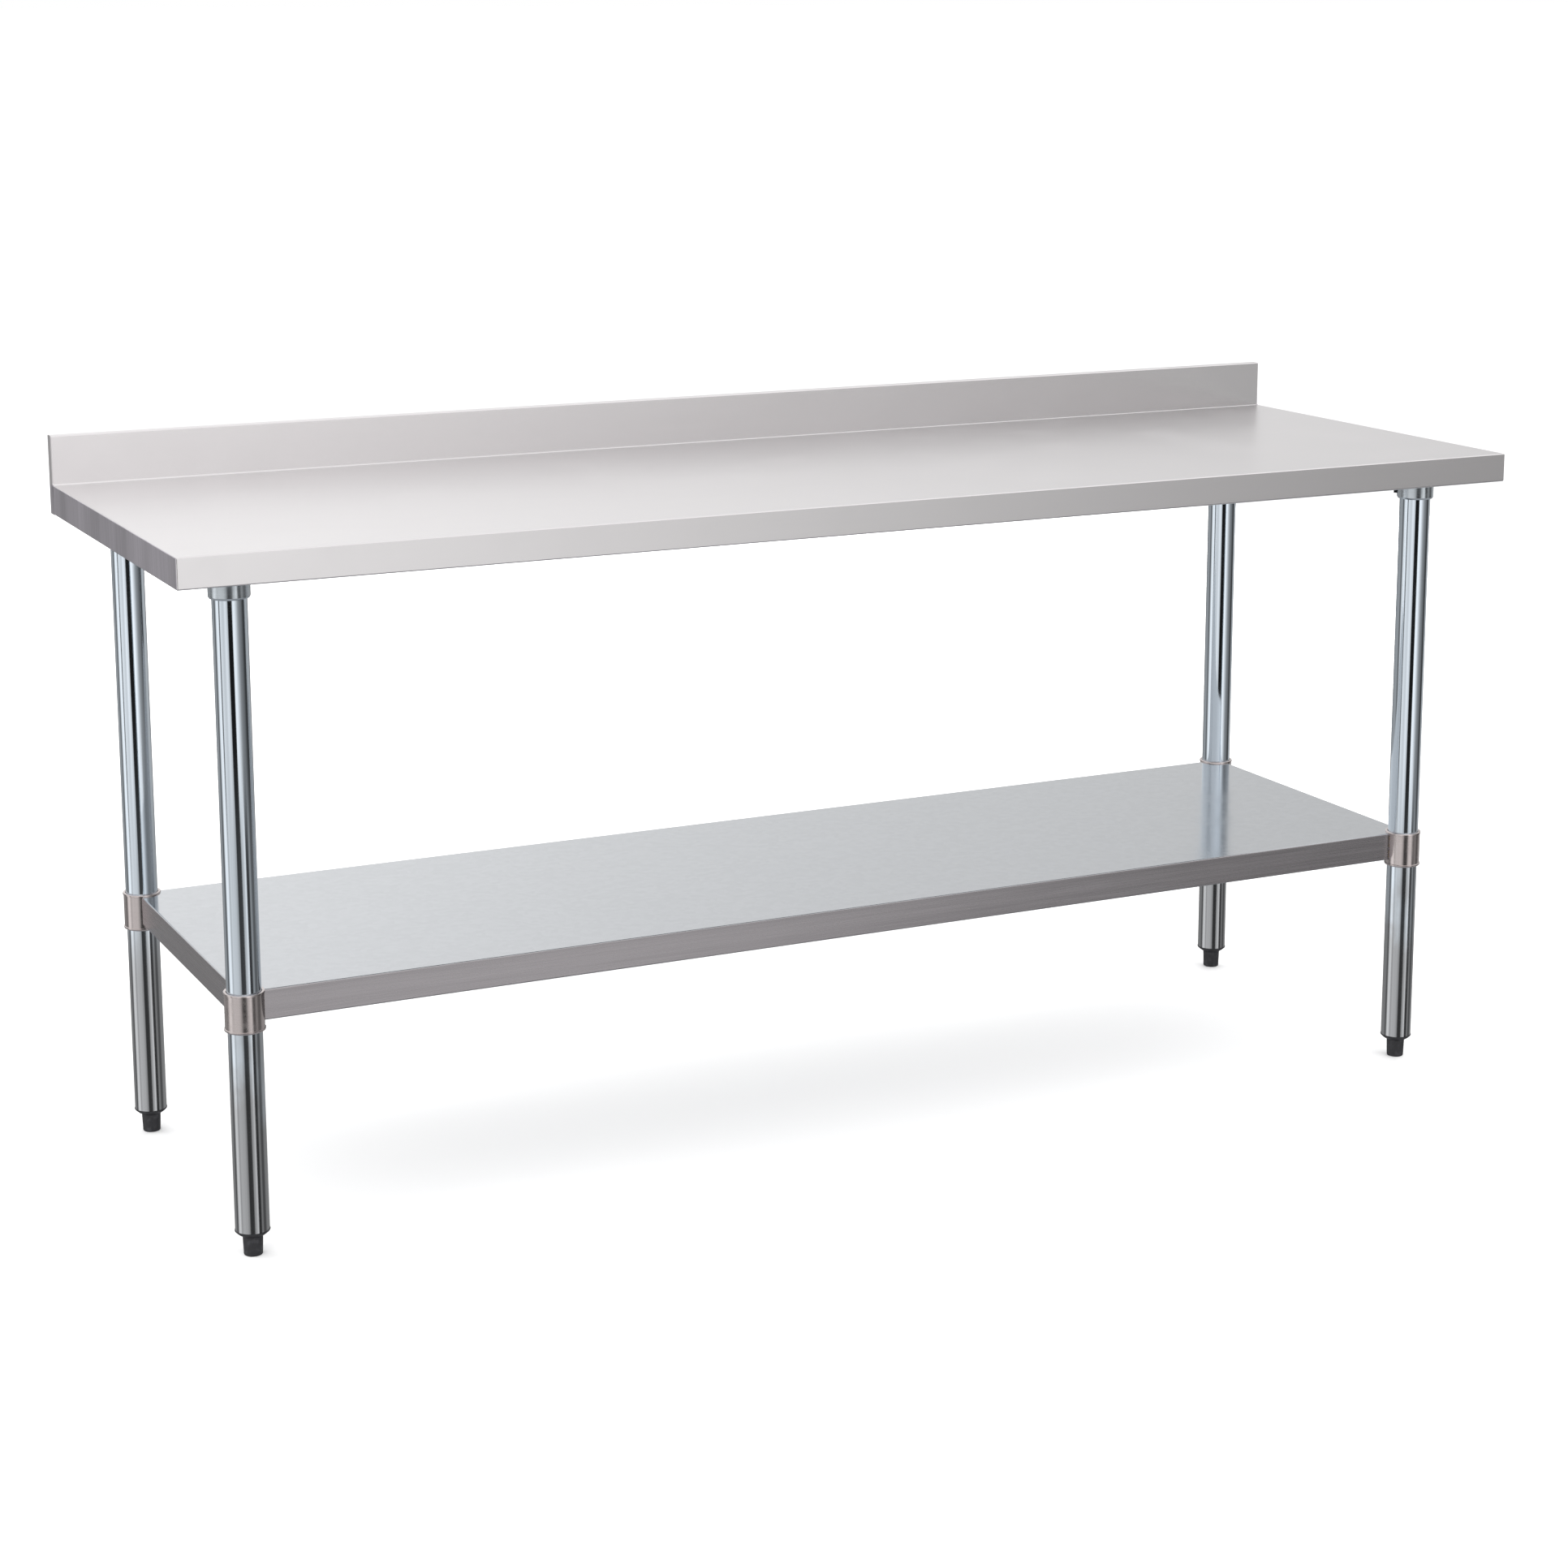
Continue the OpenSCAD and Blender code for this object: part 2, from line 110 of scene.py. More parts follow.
class TableSizes(bpy.types.PropertyGroup):
    """Sizes that the pieces are folded, turned and threaded to."""

    top_sheet: length("Top sheet", "Thickness of the work top's sheet", 0.0012)
    shelf_sheet: length("Shelf sheet", "Thickness of the shelf's sheet", 0.001)
    fold: length("Fold", "Outside radius of a fold", 0.002)
    cove: length("Cove", "Radius where the top meets the upturned back", 0.003)
    lip: length("Lip", "Width of the lip folded in under an edge", 0.012)
    channel_sheet: length("Channel sheet", "Thickness of a channel's sheet", 0.0012)
    channel_bend: length("Channel bend", "Outside radius of a channel's bends", 0.0032)
    channel_foot: length("Channel foot", "Width of a channel's foot outside its web", 0.0148)
    tube_wall: length("Tube wall", "Wall of a leg tube", 0.0012)
    socket_gap: length("Socket gap", "Gap between a leg and its socket", 0.0003)
    collar_gap: length("Collar gap", "Gap between a leg and its collar", 0.0005)
    collar_waist: length("Collar waist", "How far a collar's middle is turned down below its rims", 0.0009)
    collar_rim: length("Collar rim", "Height of a collar's rims", 0.0018)
    plate: length("Weld plate", "Thickness of a socket's weld plate", 0.003)
    plate_rim: length("Plate rim", "Width of the weld plate outside the cup", 0.0055)
    set_screw: length("Set screw", "Diameter of a set screw", 0.008)
    set_screw_out: length("Set screw stand-out", "How far a tightened set screw stands out", 0.005)
    set_screw_pitch: length("Set screw pitch", "Pitch of a set screw's thread", 0.00125)
    foot_sole: length("Foot sole", "Diameter of a foot at the floor", 0.0228)
    foot_stud: length("Foot stud", "Diameter of a foot's stud", 0.010)
    foot_stud_pitch: length("Foot stud pitch", "Pitch of a foot stud's thread", 0.0015)
    weld_stud: length("Weld stud", "Diameter of a weld stud", 0.005)
    weld_stud_pitch: length("Weld stud pitch", "Pitch of a weld stud's thread", 0.0008)
    weld_bead: length("Weld bead", "Radius of a weld bead", 0.0016)


class TableFinishes(bpy.types.PropertyGroup):
    """Colours of the table's finishes."""

    stainless: colour("Stainless", "Work top sheet", (0.80, 0.78, 0.785))
    # End face colour: painted shade, darker than the top sheet; the cross grain itself is real.
    end_face_shade: colour("End face", "Cross-grained end faces of the work top", (0.60, 0.57, 0.62))
    tube: colour("Leg tube", "Bright leg tube", (0.72, 0.79, 0.86))
    # Lower leg colour: painted shade, darker and greyer than the tube above the shelf.
    tube_below_shelf_shade: colour("Leg tube foot", "Leg tube below the shelf, painted darker as shade and a little rougher", (0.50, 0.51, 0.525))
    socket: colour("Socket", "Bright zinc of the sockets", (0.66, 0.71, 0.75))
    collar: colour("Collar", "Satin shelf collars", (0.64, 0.58, 0.57))
    galvanized: colour("Galvanized", "Shelf surface", (0.545, 0.563, 0.588))
    # Shelf edge colour: painted shade, darker than the level face of the same sheet.
    shelf_edge_shade: colour("Shelf edge", "Brushed turned-down edge of the shelf", (0.42, 0.397, 0.411))
    channel: colour("Channel", "Galvanized channels", (0.56, 0.59, 0.61))
    zinc: colour("Zinc", "Nuts and studs", (0.62, 0.61, 0.57))
    black_oxide: colour("Black oxide", "Set screws", (0.045, 0.045, 0.05))
    black_plastic: colour("Black plastic", "Feet and inserts", (0.014, 0.014, 0.016))
    weld: colour("Weld", "Weld beads", (0.44, 0.42, 0.40))


class TableStage(bpy.types.PropertyGroup):
    """Camera, floor and light round the table."""

    camera_place: bpy.props.FloatVectorProperty(
        name="Camera place", description="Where the camera stands", size=3, subtype="TRANSLATION", unit="LENGTH",
        default=(-1.8052, -3.7250, 1.4695),
    )
    camera_heading: bpy.props.FloatProperty(
        name="Camera heading", description="Turn of the view from +Y towards +X", default=0.4467, subtype="ANGLE"
    )
    camera_dip: bpy.props.FloatProperty(
        name="Camera dip", description="How far the view looks down", default=0.1952, subtype="ANGLE"
    )
    camera_roll: bpy.props.FloatProperty(
        name="Camera roll", description="Turn of the camera about its view", default=-0.0026, subtype="ANGLE"
    )
    camera_lens: bpy.props.FloatProperty(
        name="Lens", description="Focal length in millimetres", default=72.97, min=10.0, subtype="DISTANCE_CAMERA"
    )
    camera_rise: bpy.props.FloatProperty(name="Vertical shift", description="Lens shift, up", default=-0.1)
    floor_side: length("Floor", "Side of the floor", 1200.0)
    floor_colour: colour("Floor colour", "Colour of the floor", (0.92, 0.92, 0.92))
    backdrop: colour("Backdrop", "Colour seen behind the floor", (1.0, 1.0, 1.0))
    room_light: share("Room light", "Strength of the light from all round", 1.06, 4.0)
    ceiling_light: share("Ceiling light", "Strength of the even light from the ceiling", 0.7, 10.0)
    fill_light: bpy.props.FloatProperty(
        name="Fill light", description="Power of each soft panel round the room", default=160.0, min=0.0, subtype="POWER"
    )


def leg_radius():
    low, high, _ = span("leg_front_left")
    return (high.x - low.x) / 2


def sizes():
    return bpy.context.scene.work_table_sizes


def finishes():
    return bpy.context.scene.work_table_finishes


# ---------------------------------------------------------------- modelling by hand


def begin(add, **where):
    """Adds a primitive with nothing else selected, and opens it for editing."""
    bpy.ops.object.select_all(action="DESELECT")
    add(**where)
    bpy.ops.object.mode_set(mode="EDIT")
    bpy.ops.mesh.select_mode(type="VERT")
    return bpy.context.object


def pick(kind, test):
    """Selects the verts, edges or faces of the open piece that pass a test."""
    bpy.ops.mesh.select_mode(type=kind)
    bpy.ops.mesh.select_all(action="DESELECT")
    mesh = bpy.context.object.data
    shape = bmesh.from_edit_mesh(mesh)
    for element in {"VERT": shape.verts, "EDGE": shape.edges, "FACE": shape.faces}[kind]:
        if test(element):
            element.select_set(True)
    shape.select_flush_mode()
    bmesh.update_edit_mesh(mesh)


def near(a, b, within=1e-5):
    return abs(a - b) < within


def along(test):
    """A test that an edge passes when both of its ends pass test."""
    return lambda edge: all(test(v.co) for v in edge.verts)


def folds(*tests):
    """Selects the edges between two faces that lie along any of the places tested."""
    pick("EDGE", lambda edge: len(edge.link_faces) == 2 and any(along(test)(edge) for test in tests))


def bend(radius, segments=5):
    """Rounds the selected folds."""
    bpy.ops.mesh.bevel(offset=radius, segments=segments, profile=0.5, affect="EDGES", clamp_overlap=True)


def pull(*move):
    """Extrudes what is selected and moves the new part."""
    bpy.ops.mesh.extrude_region_move(TRANSFORM_OT_translate={"value": move})


def pull_edges(*move):
    """Extrudes the selected edges alone, where a face between them would come along."""
    bpy.ops.mesh.extrude_edges_move(TRANSFORM_OT_translate={"value": move})


def shift(*move):
    bpy.ops.transform.translate(value=move)


def stretch(about, *factors):
    bpy.ops.transform.resize(value=factors, center_override=about)


def modify(piece, kind, **settings):
    """Adds one modifier with its settings and applies it."""
    only(piece)
    bpy.ops.object.modifier_add(type=kind)
    modifier = piece.modifiers[-1]
    for name, value in settings.items():
        setattr(modifier, name, value)
    bpy.ops.object.modifier_apply(modifier=modifier.name)


def only(piece):
    """Makes one object the only selected one, and leaves editing."""
    if bpy.context.object and bpy.context.object.mode == "EDIT":
        bpy.ops.object.mode_set(mode="OBJECT")
    bpy.ops.object.select_all(action="DESELECT")
    piece.select_set(True)
    bpy.context.view_layer.objects.active = piece
    return piece


def settle(piece, name, smooth=40):
    """Puts the piece's place and turn into its mesh, shades it and names it."""
    only(piece)
    bpy.ops.object.transform_apply(location=True, rotation=True, scale=True)
    bpy.ops.object.shade_smooth_by_angle(angle=math.radians(smooth))
    piece.name = name
    piece.data.name = name
    return piece


def point_outwards():
    """Merges doubles and turns every face of the open piece outwards."""
    bpy.ops.mesh.select_mode(type="VERT")
    bpy.ops.mesh.select_all(action="SELECT")
    bpy.ops.mesh.remove_doubles(threshold=2e-6)
    bpy.ops.mesh.select_all(action="SELECT")
    bpy.ops.mesh.normals_make_consistent(inside=False)


def draw_line(points):
    """Opens a new piece that holds one chain of edges through points, given as (radius, height)."""
    piece = begin(bpy.ops.mesh.primitive_plane_add, size=MM)
    bpy.ops.mesh.merge(type="CENTER")
    shift(points[0][0], 0, points[0][1])
    for before, after in zip(points, points[1:]):
        pull(after[0] - before[0], 0, after[1] - before[1])
    return piece


def arc(x, z, radius, start, end, steps=5):
    """Points along an arc in an outline, its angles in degrees."""
    turns = [math.radians(start + (end - start) * i / steps) for i in range(steps + 1)]
    return [(x + radius * math.cos(turn), z + radius * math.sin(turn)) for turn in turns]


def turned(name, outline, at=(0, 0, 0), steps=96, closed=True, smooth=40):
    """A turned piece: an outline spun about the upright line through a place."""
    piece = draw_line(outline + outline[:1] if closed else outline)
    bpy.ops.mesh.select_all(action="SELECT")
    bpy.ops.mesh.spin(steps=steps, angle=FULL_TURN, center=(0, 0, 0), axis=(0, 0, 1))
    point_outwards()
    only(piece)
    piece.location = at
    return settle(piece, name, smooth)


def cut_out(name, outline, thickness):
    """A flat piece of an outline in the XZ plane, its thickness centred on Y = 0."""
    piece = draw_line(outline + outline[:1])
    bpy.ops.mesh.select_all(action="SELECT")
    bpy.ops.mesh.remove_doubles(threshold=2e-6)
    bpy.ops.mesh.select_all(action="SELECT")
    bpy.ops.mesh.edge_face_add()
    shift(0, -thickness / 2, 0)
    pull(0, thickness, 0)
    point_outwards()
    return settle(piece, name, 30)


def copied(piece, name, place, turn=0.0):
    """A copy of a piece with its own mesh, turned about the upright axis and moved to a place."""
    twin = piece.copy()
    twin.data = piece.data.copy()
    bpy.context.scene.collection.objects.link(twin)
    twin.data.transform(Matrix.Translation(place) @ Matrix.Rotation(turn, 4, "Z"))
    twin.name = name
    twin.data.name = name
    return twin


def joined(pieces, name):
    """Joins pieces into one."""
    only(pieces[0])
    for piece in pieces:
        piece.select_set(True)
    bpy.ops.object.join()
    pieces[0].name = name
    pieces[0].data.name = name
    return pieces[0]


def dropped(*pieces):
    for piece in pieces:
        bpy.data.meshes.remove(piece.data)


def cut(piece, cutter, how="DIFFERENCE"):
    """Cuts a piece with another, which is then removed."""
    modify(piece, "BOOLEAN", object=cutter, operation=how, solver="EXACT")
    dropped(cutter)
    return piece


def trim(place, facing):
    """Cuts the open piece flat at a place, keeps the side behind the facing and closes it."""
    bpy.ops.mesh.select_all(action="SELECT")
    bpy.ops.mesh.bisect(plane_co=place, plane_no=facing, use_fill=True, clear_outer=True)


def six_flats(piece, width):
    """Cuts six wrench flats on a piece about the upright axis."""
    only(piece)
    bpy.ops.object.mode_set(mode="EDIT")
    for i in range(6):
        heading = math.radians(30 + 60 * i)
        outwards = Vector((math.cos(heading), math.sin(heading), 0))
        trim(outwards * width / 2, outwards)
    point_outwards()
    return settle(piece, piece.name, 30)


def bar(radius, low, high, sides=48):
    """A plain bar about the upright axis, used only as a cutter."""
    piece = begin(bpy.ops.mesh.primitive_cylinder_add, vertices=sides, radius=radius, depth=high - low)
    shift(0, 0, (low + high) / 2)
    return settle(piece, "cutter", 30)


def threaded(name, diameter, pitch, low, high, chamfer, steps=32):
    """A threaded rod about the upright axis, with a chamfer at both ends."""
    crest = diameter / 2
    root = crest - 0.61 * pitch
    flat = pitch / 8
    piece = draw_line(
        [(root, 0), (root, flat), (crest, (pitch - flat) / 2), (crest, (pitch + flat) / 2), (root, pitch)]
    )
    turns = math.ceil((high - low) / pitch) + 2
    modify(piece, "SCREW", screw_offset=pitch, iterations=turns, steps=steps, render_steps=steps)
    bpy.ops.object.mode_set(mode="EDIT")
    point_outwards()
    bpy.ops.mesh.select_all(action="SELECT")
    shift(0, 0, low - pitch)
    trim((0, 0, high), (0, 0, 1))
    trim((0, 0, low), (0, 0, -1))
    point_outwards()
    settle(piece, name, 30)
    blank = turned(
        "blank",
        [(0, low - MM), (crest - chamfer - MM, low - MM), (crest - chamfer, low), (crest + MM / 20, low + chamfer),
         (crest + MM / 20, high - chamfer), (crest - chamfer, high), (crest - chamfer - MM, high + MM), (0, high + MM)],
        steps=steps, closed=False,
    )
    return settle(cut(piece, blank, "INTERSECT"), name, 30)


def laid_down(piece, place, heading):
    """Lays an upright piece down, so that its top points along a level heading."""
    only(piece)
    piece.rotation_mode = "QUATERNION"
    piece.rotation_quaternion = heading.to_track_quat("Z", "Y")
    piece.location = place
    return settle(piece, piece.name, 30)


def bead(name, start, end, radius):
    """A rippled weld bead from one place to another."""
    run = Vector(end) - Vector(start)
    ripples = max(4, round(run.length / (1.1 * radius)))
    outline = [(0, 0)]
    for i in range(2 * ripples + 1):
        swell = 0.55 if i in (0, 2 * ripples) else (1.0 if i % 2 else 0.88)
        outline.append((radius * swell, run.length * i / (2 * ripples)))
    outline.append((0, run.length))
    piece = turned(name, outline, steps=12, closed=False, smooth=60)
    return laid_down(piece, start, run)


def clusters(node):
    """The low and high corners of each separate solid in a CAD node, in order of place."""
    shape = bmesh.new()
    shape.from_mesh(frame["nodes"][node].data)
    bmesh.ops.remove_doubles(shape, verts=shape.verts, dist=1e-6)
    left = set(shape.verts)
    found = []
    while left:
        reached = [left.pop()]
        for vert in reached:
            for edge in vert.link_edges:
                other = edge.other_vert(vert)
                if other in left:
                    left.remove(other)
                    reached.append(other)
        found.append(tuple(Vector(f(v.co[i] for v in reached) for i in range(3)) for f in (min, max)))
    shape.free()
    return sorted(found, key=lambda corners: tuple(round(v, 4) for v in corners[0]))


def hand_over(piece, body, nodes, finish_name):
    """Puts a finished piece on its body, in place of its CAD nodes, with its finish."""
    piece.data.materials.clear()
    piece.data.materials.append(finish(finish_name))
    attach(piece, body)
    if nodes:
        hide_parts(*nodes)
    return piece


# ---------------------------------------------------------------- node groups for the finishes


class Nodes:
    """Short ways to add and join shader nodes in one tree."""

    def __init__(self, tree):
        self.tree = tree

    def add(self, kind, **settings):
        node = self.tree.nodes.new(kind)
        for name, value in settings.items():
            setattr(node, name, value)
        return node

    def feed(self, socket, value):
        if isinstance(value, bpy.types.NodeSocket):
            self.tree.links.new(value, socket)
        else:
            socket.default_value = value

    def math(self, operation, *values, clamp=False):
        node = self.add("ShaderNodeMath", operation=operation, use_clamp=clamp)
        for socket, value in zip(node.inputs, values):
            self.feed(socket, value)
        return node.outputs[0]

    def ramp(self, value, low, high, out_low=0.0, out_high=1.0, smooth=True):
        node = self.add("ShaderNodeMapRange", interpolation_type="SMOOTHSTEP" if smooth else "LINEAR")
        for name, item in (("Value", value), ("From Min", low), ("From Max", high), ("To Min", out_low), ("To Max", out_high)):
            self.feed(node.inputs[name], item)
        return node.outputs["Result"]

    def stretched(self, vector, scale):
        node = self.add("ShaderNodeMapping")
        self.feed(node.inputs["Vector"], vector)
        node.inputs["Scale"].default_value = scale
        return node.outputs[0]

    def noise(self, vector, scale=1.0, detail=3.0, roughness=0.5):
        node = self.add("ShaderNodeTexNoise")
        self.feed(node.inputs["Vector"], vector)
        node.inputs["Scale"].default_value = scale
        node.inputs["Detail"].default_value = detail
        node.inputs["Roughness"].default_value = roughness
        return node.outputs["Fac"]

    def blend(self, amount, first, second):
        node = self.add("ShaderNodeMix", data_type="RGBA")
        self.feed(node.inputs["Factor"], amount)
        for socket, value in zip([s for s in node.inputs if s.type == "RGBA"], (first, second)):
            self.feed(socket, (*value, 1.0) if isinstance(value, tuple) and len(value) == 3 else value)
        return [s for s in node.outputs if s.type == "RGBA"][0]

    def tint(self, colour_value, amount):
        """A colour made lighter or darker by a number round 1."""
        node = self.add("ShaderNodeVectorMath", operation="SCALE")
        self.feed(node.inputs[0], colour_value)
        self.feed(node.inputs["Scale"], amount)
        return node.outputs[0]


def new_group(name, inputs, outputs):
    """An empty node group with named inputs, as (name, kind, default), and outputs."""
    tree = bpy.data.node_groups.new(name, "ShaderNodeTree")
    for label, kind, default in inputs:
        socket = tree.interface.new_socket(label, in_out="INPUT", socket_type=kind)
        if default is not None:
            socket.default_value = default
    for label, kind in outputs:
        tree.interface.new_socket(label, in_out="OUTPUT", socket_type=kind)
    nodes = Nodes(tree)
    return tree, nodes, nodes.add("NodeGroupInput"), nodes.add("NodeGroupOutput")


def grain_group():
    """Fine scratches that run along one axis, which a Mapping outside sets by stretching."""
    tree, n, given, out = new_group(
        "Brushed Grain",
        [("Vector", "NodeSocketVector", None), ("Depth", "NodeSocketFloat", 1.0), ("Patchiness", "NodeSocketFloat", 0.5)],
        [("Scratches", "NodeSocketFloat"), ("Patches", "NodeSocketFloat")],
    )
    fine = n.noise(given.outputs["Vector"], 1.0, 2.0, 0.6)
    coarse = n.noise(given.outputs["Vector"], 0.22, 2.0, 0.5)
    mixed = n.math("ADD", n.math("MULTIPLY", fine, 0.65), n.math("MULTIPLY", coarse, 0.35))
    centred = n.math("SUBTRACT", mixed, 0.5)
    n.feed(out.inputs["Scratches"], n.math("MULTIPLY", centred, given.outputs["Depth"]))
    broad = n.math("SUBTRACT", n.noise(given.outputs["Vector"], 0.012, 2.0, 0.5), 0.5)
    n.feed(out.inputs["Patches"], n.math("MULTIPLY", broad, given.outputs["Patchiness"]))
    return tree


def spangle_group():
    """The faint crystal flakes of galvanized sheet."""
    tree, n, given, out = new_group(
        "Galvanized Flakes",
        [("Vector", "NodeSocketVector", None), ("Flakes per Metre", "NodeSocketFloat", 160.0), ("Contrast", "NodeSocketFloat", 0.1)],
        [("Flakes", "NodeSocketFloat")],
    )
    warp = n.add("ShaderNodeVectorMath", operation="SCALE")
    n.feed(warp.inputs[0], given.outputs["Vector"])
    n.feed(warp.inputs["Scale"], given.outputs["Flakes per Metre"])
    cells = n.add("ShaderNodeTexVoronoi", feature="F1")
    n.feed(cells.inputs["Vector"], warp.outputs[0])
    cells.inputs["Scale"].default_value = 1.0
    split = n.add("ShaderNodeSeparateColor")
    n.feed(split.inputs[0], cells.outputs["Color"])
    value = n.math("SUBTRACT", split.outputs[0], 0.5)
    n.feed(out.inputs["Flakes"], n.math("MULTIPLY", value, given.outputs["Contrast"]))
    return tree


def soil_group():
    """Faint wiping marks and handling smears."""
    tree, n, given, out = new_group(
        "Wiping Marks",
        [("Vector", "NodeSocketVector", None), ("Amount", "NodeSocketFloat", 0.05)],
        [("Marks", "NodeSocketFloat")],
    )
    cloud = n.noise(given.outputs["Vector"], 7.0, 4.0, 0.55)
    marks = n.ramp(cloud, 0.45, 0.7)
    n.feed(out.inputs["Marks"], n.math("MULTIPLY", marks, given.outputs["Amount"]))
    return tree


def new_material(name, metallic, roughness, base):
    """A material with its Principled shader and object coordinates."""
    material = bpy.data.materials.new(name)
    material.use_nodes = True
    material.node_tree.nodes.clear()
    n = Nodes(material.node_tree)
    shader = n.add("ShaderNodeBsdfPrincipled")
    out = n.add("ShaderNodeOutputMaterial")
    material.node_tree.links.new(shader.outputs[0], out.inputs[0])
    shader.inputs["Metallic"].default_value = metallic
    shader.inputs["Roughness"].default_value = roughness
    shader.inputs["Base Color"].default_value = (*base, 1.0)
    material.diffuse_color = (*base, 1.0)
    place = n.add("ShaderNodeTexCoord")
    return material, n, shader, place


def use_group(n, tree, vector, **values):
    node = n.add("ShaderNodeGroup", node_tree=tree)
    n.feed(node.inputs["Vector"], vector)
    for label, value in values.items():
        n.feed(node.inputs[label.replace("_", " ")], value)
    return node


def raise_bump(n, shader, height, strength, distance):
    bump = n.add("ShaderNodeBump")
    bump.inputs["Strength"].default_value = strength
    bump.inputs["Distance"].default_value = distance
    n.feed(bump.inputs["Height"], height)
    n.feed(shader.inputs["Normal"], bump.outputs[0])


GROUPS = {}


def group(name):
    """A shared node group, made the first time it is asked for."""
    makers = {"grain": grain_group, "flakes": spangle_group, "marks": soil_group}
    if name not in GROUPS:
        GROUPS[name] = makers[name]()
    return GROUPS[name]


def facing(n, place, axis):
    """How far a surface faces along an axis of the piece, 0 to 1."""
    split = n.add("ShaderNodeSeparateXYZ")
    n.feed(split.inputs[0], place.outputs["Normal"])
    return n.ramp(n.math("ABSOLUTE", split.outputs[axis]), 0.55, 0.8)


def stainless_top():
    """Satin sheet with lengthwise grain, which turns downwards on the end faces, where the colour is painted darker as
    shade.
    """
    f = finishes()
    material, n, shader, place = new_material("satin_stainless", 1.0, 0.3, f.stainless)
    where = place.outputs["Object"]
    along = use_group(n, group("grain"), n.stretched(where, (9, 1500, 1500)), Depth=0.5, Patchiness=0.35)
    down = use_group(n, group("grain"), n.stretched(where, (900, 900, 7)), Depth=1.0, Patchiness=0.9)
    end_on = facing(n, place, "X")
    marks = use_group(n, group("marks"), where, Amount=0.035)
    plain = n.tint(tuple(f.stainless), n.math("ADD", 1.0, n.math("MULTIPLY", along.outputs[0], 0.16)))
    # Painted shade: faces turned towards the ends take the darker end face colour; their downward grain and rougher
    # finish are real.
    end_grain_and_shade = n.tint(tuple(f.end_face_shade), n.math("ADD", 1.0, n.math("ADD", down.outputs[0], down.outputs[1])))
    n.feed(shader.inputs["Base Color"], n.blend(end_on, plain, end_grain_and_shade))
    level = facing(n, place, "Z")
    satin = n.math("ADD", n.ramp(level, 0.0, 1.0, 0.22, 0.30, smooth=False), n.math("ADD", n.math("MULTIPLY", along.outputs[0], 0.12), marks.outputs[0]))
    coarse = n.math("ADD", 0.38, n.math("MULTIPLY", down.outputs[0], 0.15))
    n.feed(shader.inputs["Roughness"], n.math("ADD", n.math("MULTIPLY", satin, n.math("SUBTRACT", 1.0, end_on)),
                                              n.math("MULTIPLY", coarse, end_on), clamp=True))
    height = n.math("ADD", along.outputs[0], n.math("MULTIPLY", down.outputs[0], end_on))
    raise_bump(n, shader, height, 0.12, 0.00005)
    return material


def stainless_end():
    """The end plates' satin, painted darker below the work surface as shade."""
    f = finishes()
    material, n, shader, place = new_material("end_plate_stainless_with_painted_shade", 1.0, 0.34, f.stainless)
    where = place.outputs["Object"]
    grain = use_group(n, group("grain"), n.stretched(where, (900, 1100, 12)), Depth=0.8, Patchiness=0.8)
    split = n.add("ShaderNodeSeparateXYZ")
    n.feed(split.inputs[0], where)
    # Painted shade: below the work surface the end plates take the darker end face colour.
    end_plate_shade_below_top = n.ramp(split.outputs["Z"], WORK_Z + 0.004, WORK_Z - 0.004)
    mixed = n.blend(end_plate_shade_below_top, tuple(f.stainless), tuple(f.end_face_shade))
    n.feed(shader.inputs["Base Color"], n.tint(mixed, n.math("ADD", 0.95, grain.outputs[0])))
    n.feed(shader.inputs["Roughness"], n.math("ADD", 0.34, n.math("MULTIPLY", grain.outputs[0], 0.2)))
    raise_bump(n, shader, grain.outputs[0], 0.15, 0.00005)
    return material


def galvanized_shelf():
    """Galvanized sheet: a smooth bright face with faint flakes, and brushed turned-down edges painted darker as shade.
    """
    f = finishes()
    material, n, shader, place = new_material("galvanized_shelf_sheet", 1.0, 0.22, f.galvanized)
    where = place.outputs["Object"]
    flakes = use_group(n, group("flakes"), where, Contrast=0.05)
    flakes.inputs["Flakes per Metre"].default_value = 120.0
    marks = use_group(n, group("marks"), where, Amount=0.05)
    edge_grain = use_group(n, group("grain"), n.stretched(where, (10, 10, 1300)), Depth=0.7, Patchiness=0.7)
    face = facing(n, place, "Z")
    level = n.tint(tuple(f.galvanized), n.math("ADD", 1.0, flakes.outputs[0]))
    # Painted shade: the turned-down edges take a darker colour than the level face; their brushed grain and roughness
    # are real.
    upright = n.tint(tuple(f.shelf_edge_shade), n.math("ADD", 1.0, n.math("ADD", edge_grain.outputs[0], edge_grain.outputs[1])))
    n.feed(shader.inputs["Base Color"], n.blend(face, upright, level))
    smooth = n.math("ADD", 0.13, n.math("ADD", n.math("MULTIPLY", flakes.outputs[0], 0.5), marks.outputs[0]))
    brushed = n.math("ADD", 0.27, n.math("MULTIPLY", edge_grain.outputs[0], 0.2))
    n.feed(shader.inputs["Roughness"], n.math("ADD", n.math("MULTIPLY", smooth, face),
                                              n.math("MULTIPLY", brushed, n.math("SUBTRACT", 1.0, face)), clamp=True))
    raise_bump(n, shader, n.math("ADD", flakes.outputs[0], edge_grain.outputs[0]), 0.1, 0.00006)
    return material


def galvanized_channel():
    """Plain galvanized channel with visible crystal flakes."""
    f = finishes()
    material, n, shader, place = new_material("galvanized_channel_sheet", 1.0, 0.4, f.channel)
    where = place.outputs["Object"]
    flakes = use_group(n, group("flakes"), where, Contrast=0.32)
    flakes.inputs["Flakes per Metre"].default_value = 95.0
    marks = use_group(n, group("marks"), where, Amount=0.12)
    n.feed(shader.inputs["Base Color"], n.tint(tuple(f.channel), n.math("ADD", 1.0, flakes.outputs[0])))
    n.feed(shader.inputs["Roughness"], n.math("ADD", 0.36, n.math("ADD", n.math("MULTIPLY", flakes.outputs[0], 0.5), marks.outputs[0])))
    raise_bump(n, shader, flakes.outputs[0], 0.1, 0.0001)
    return material


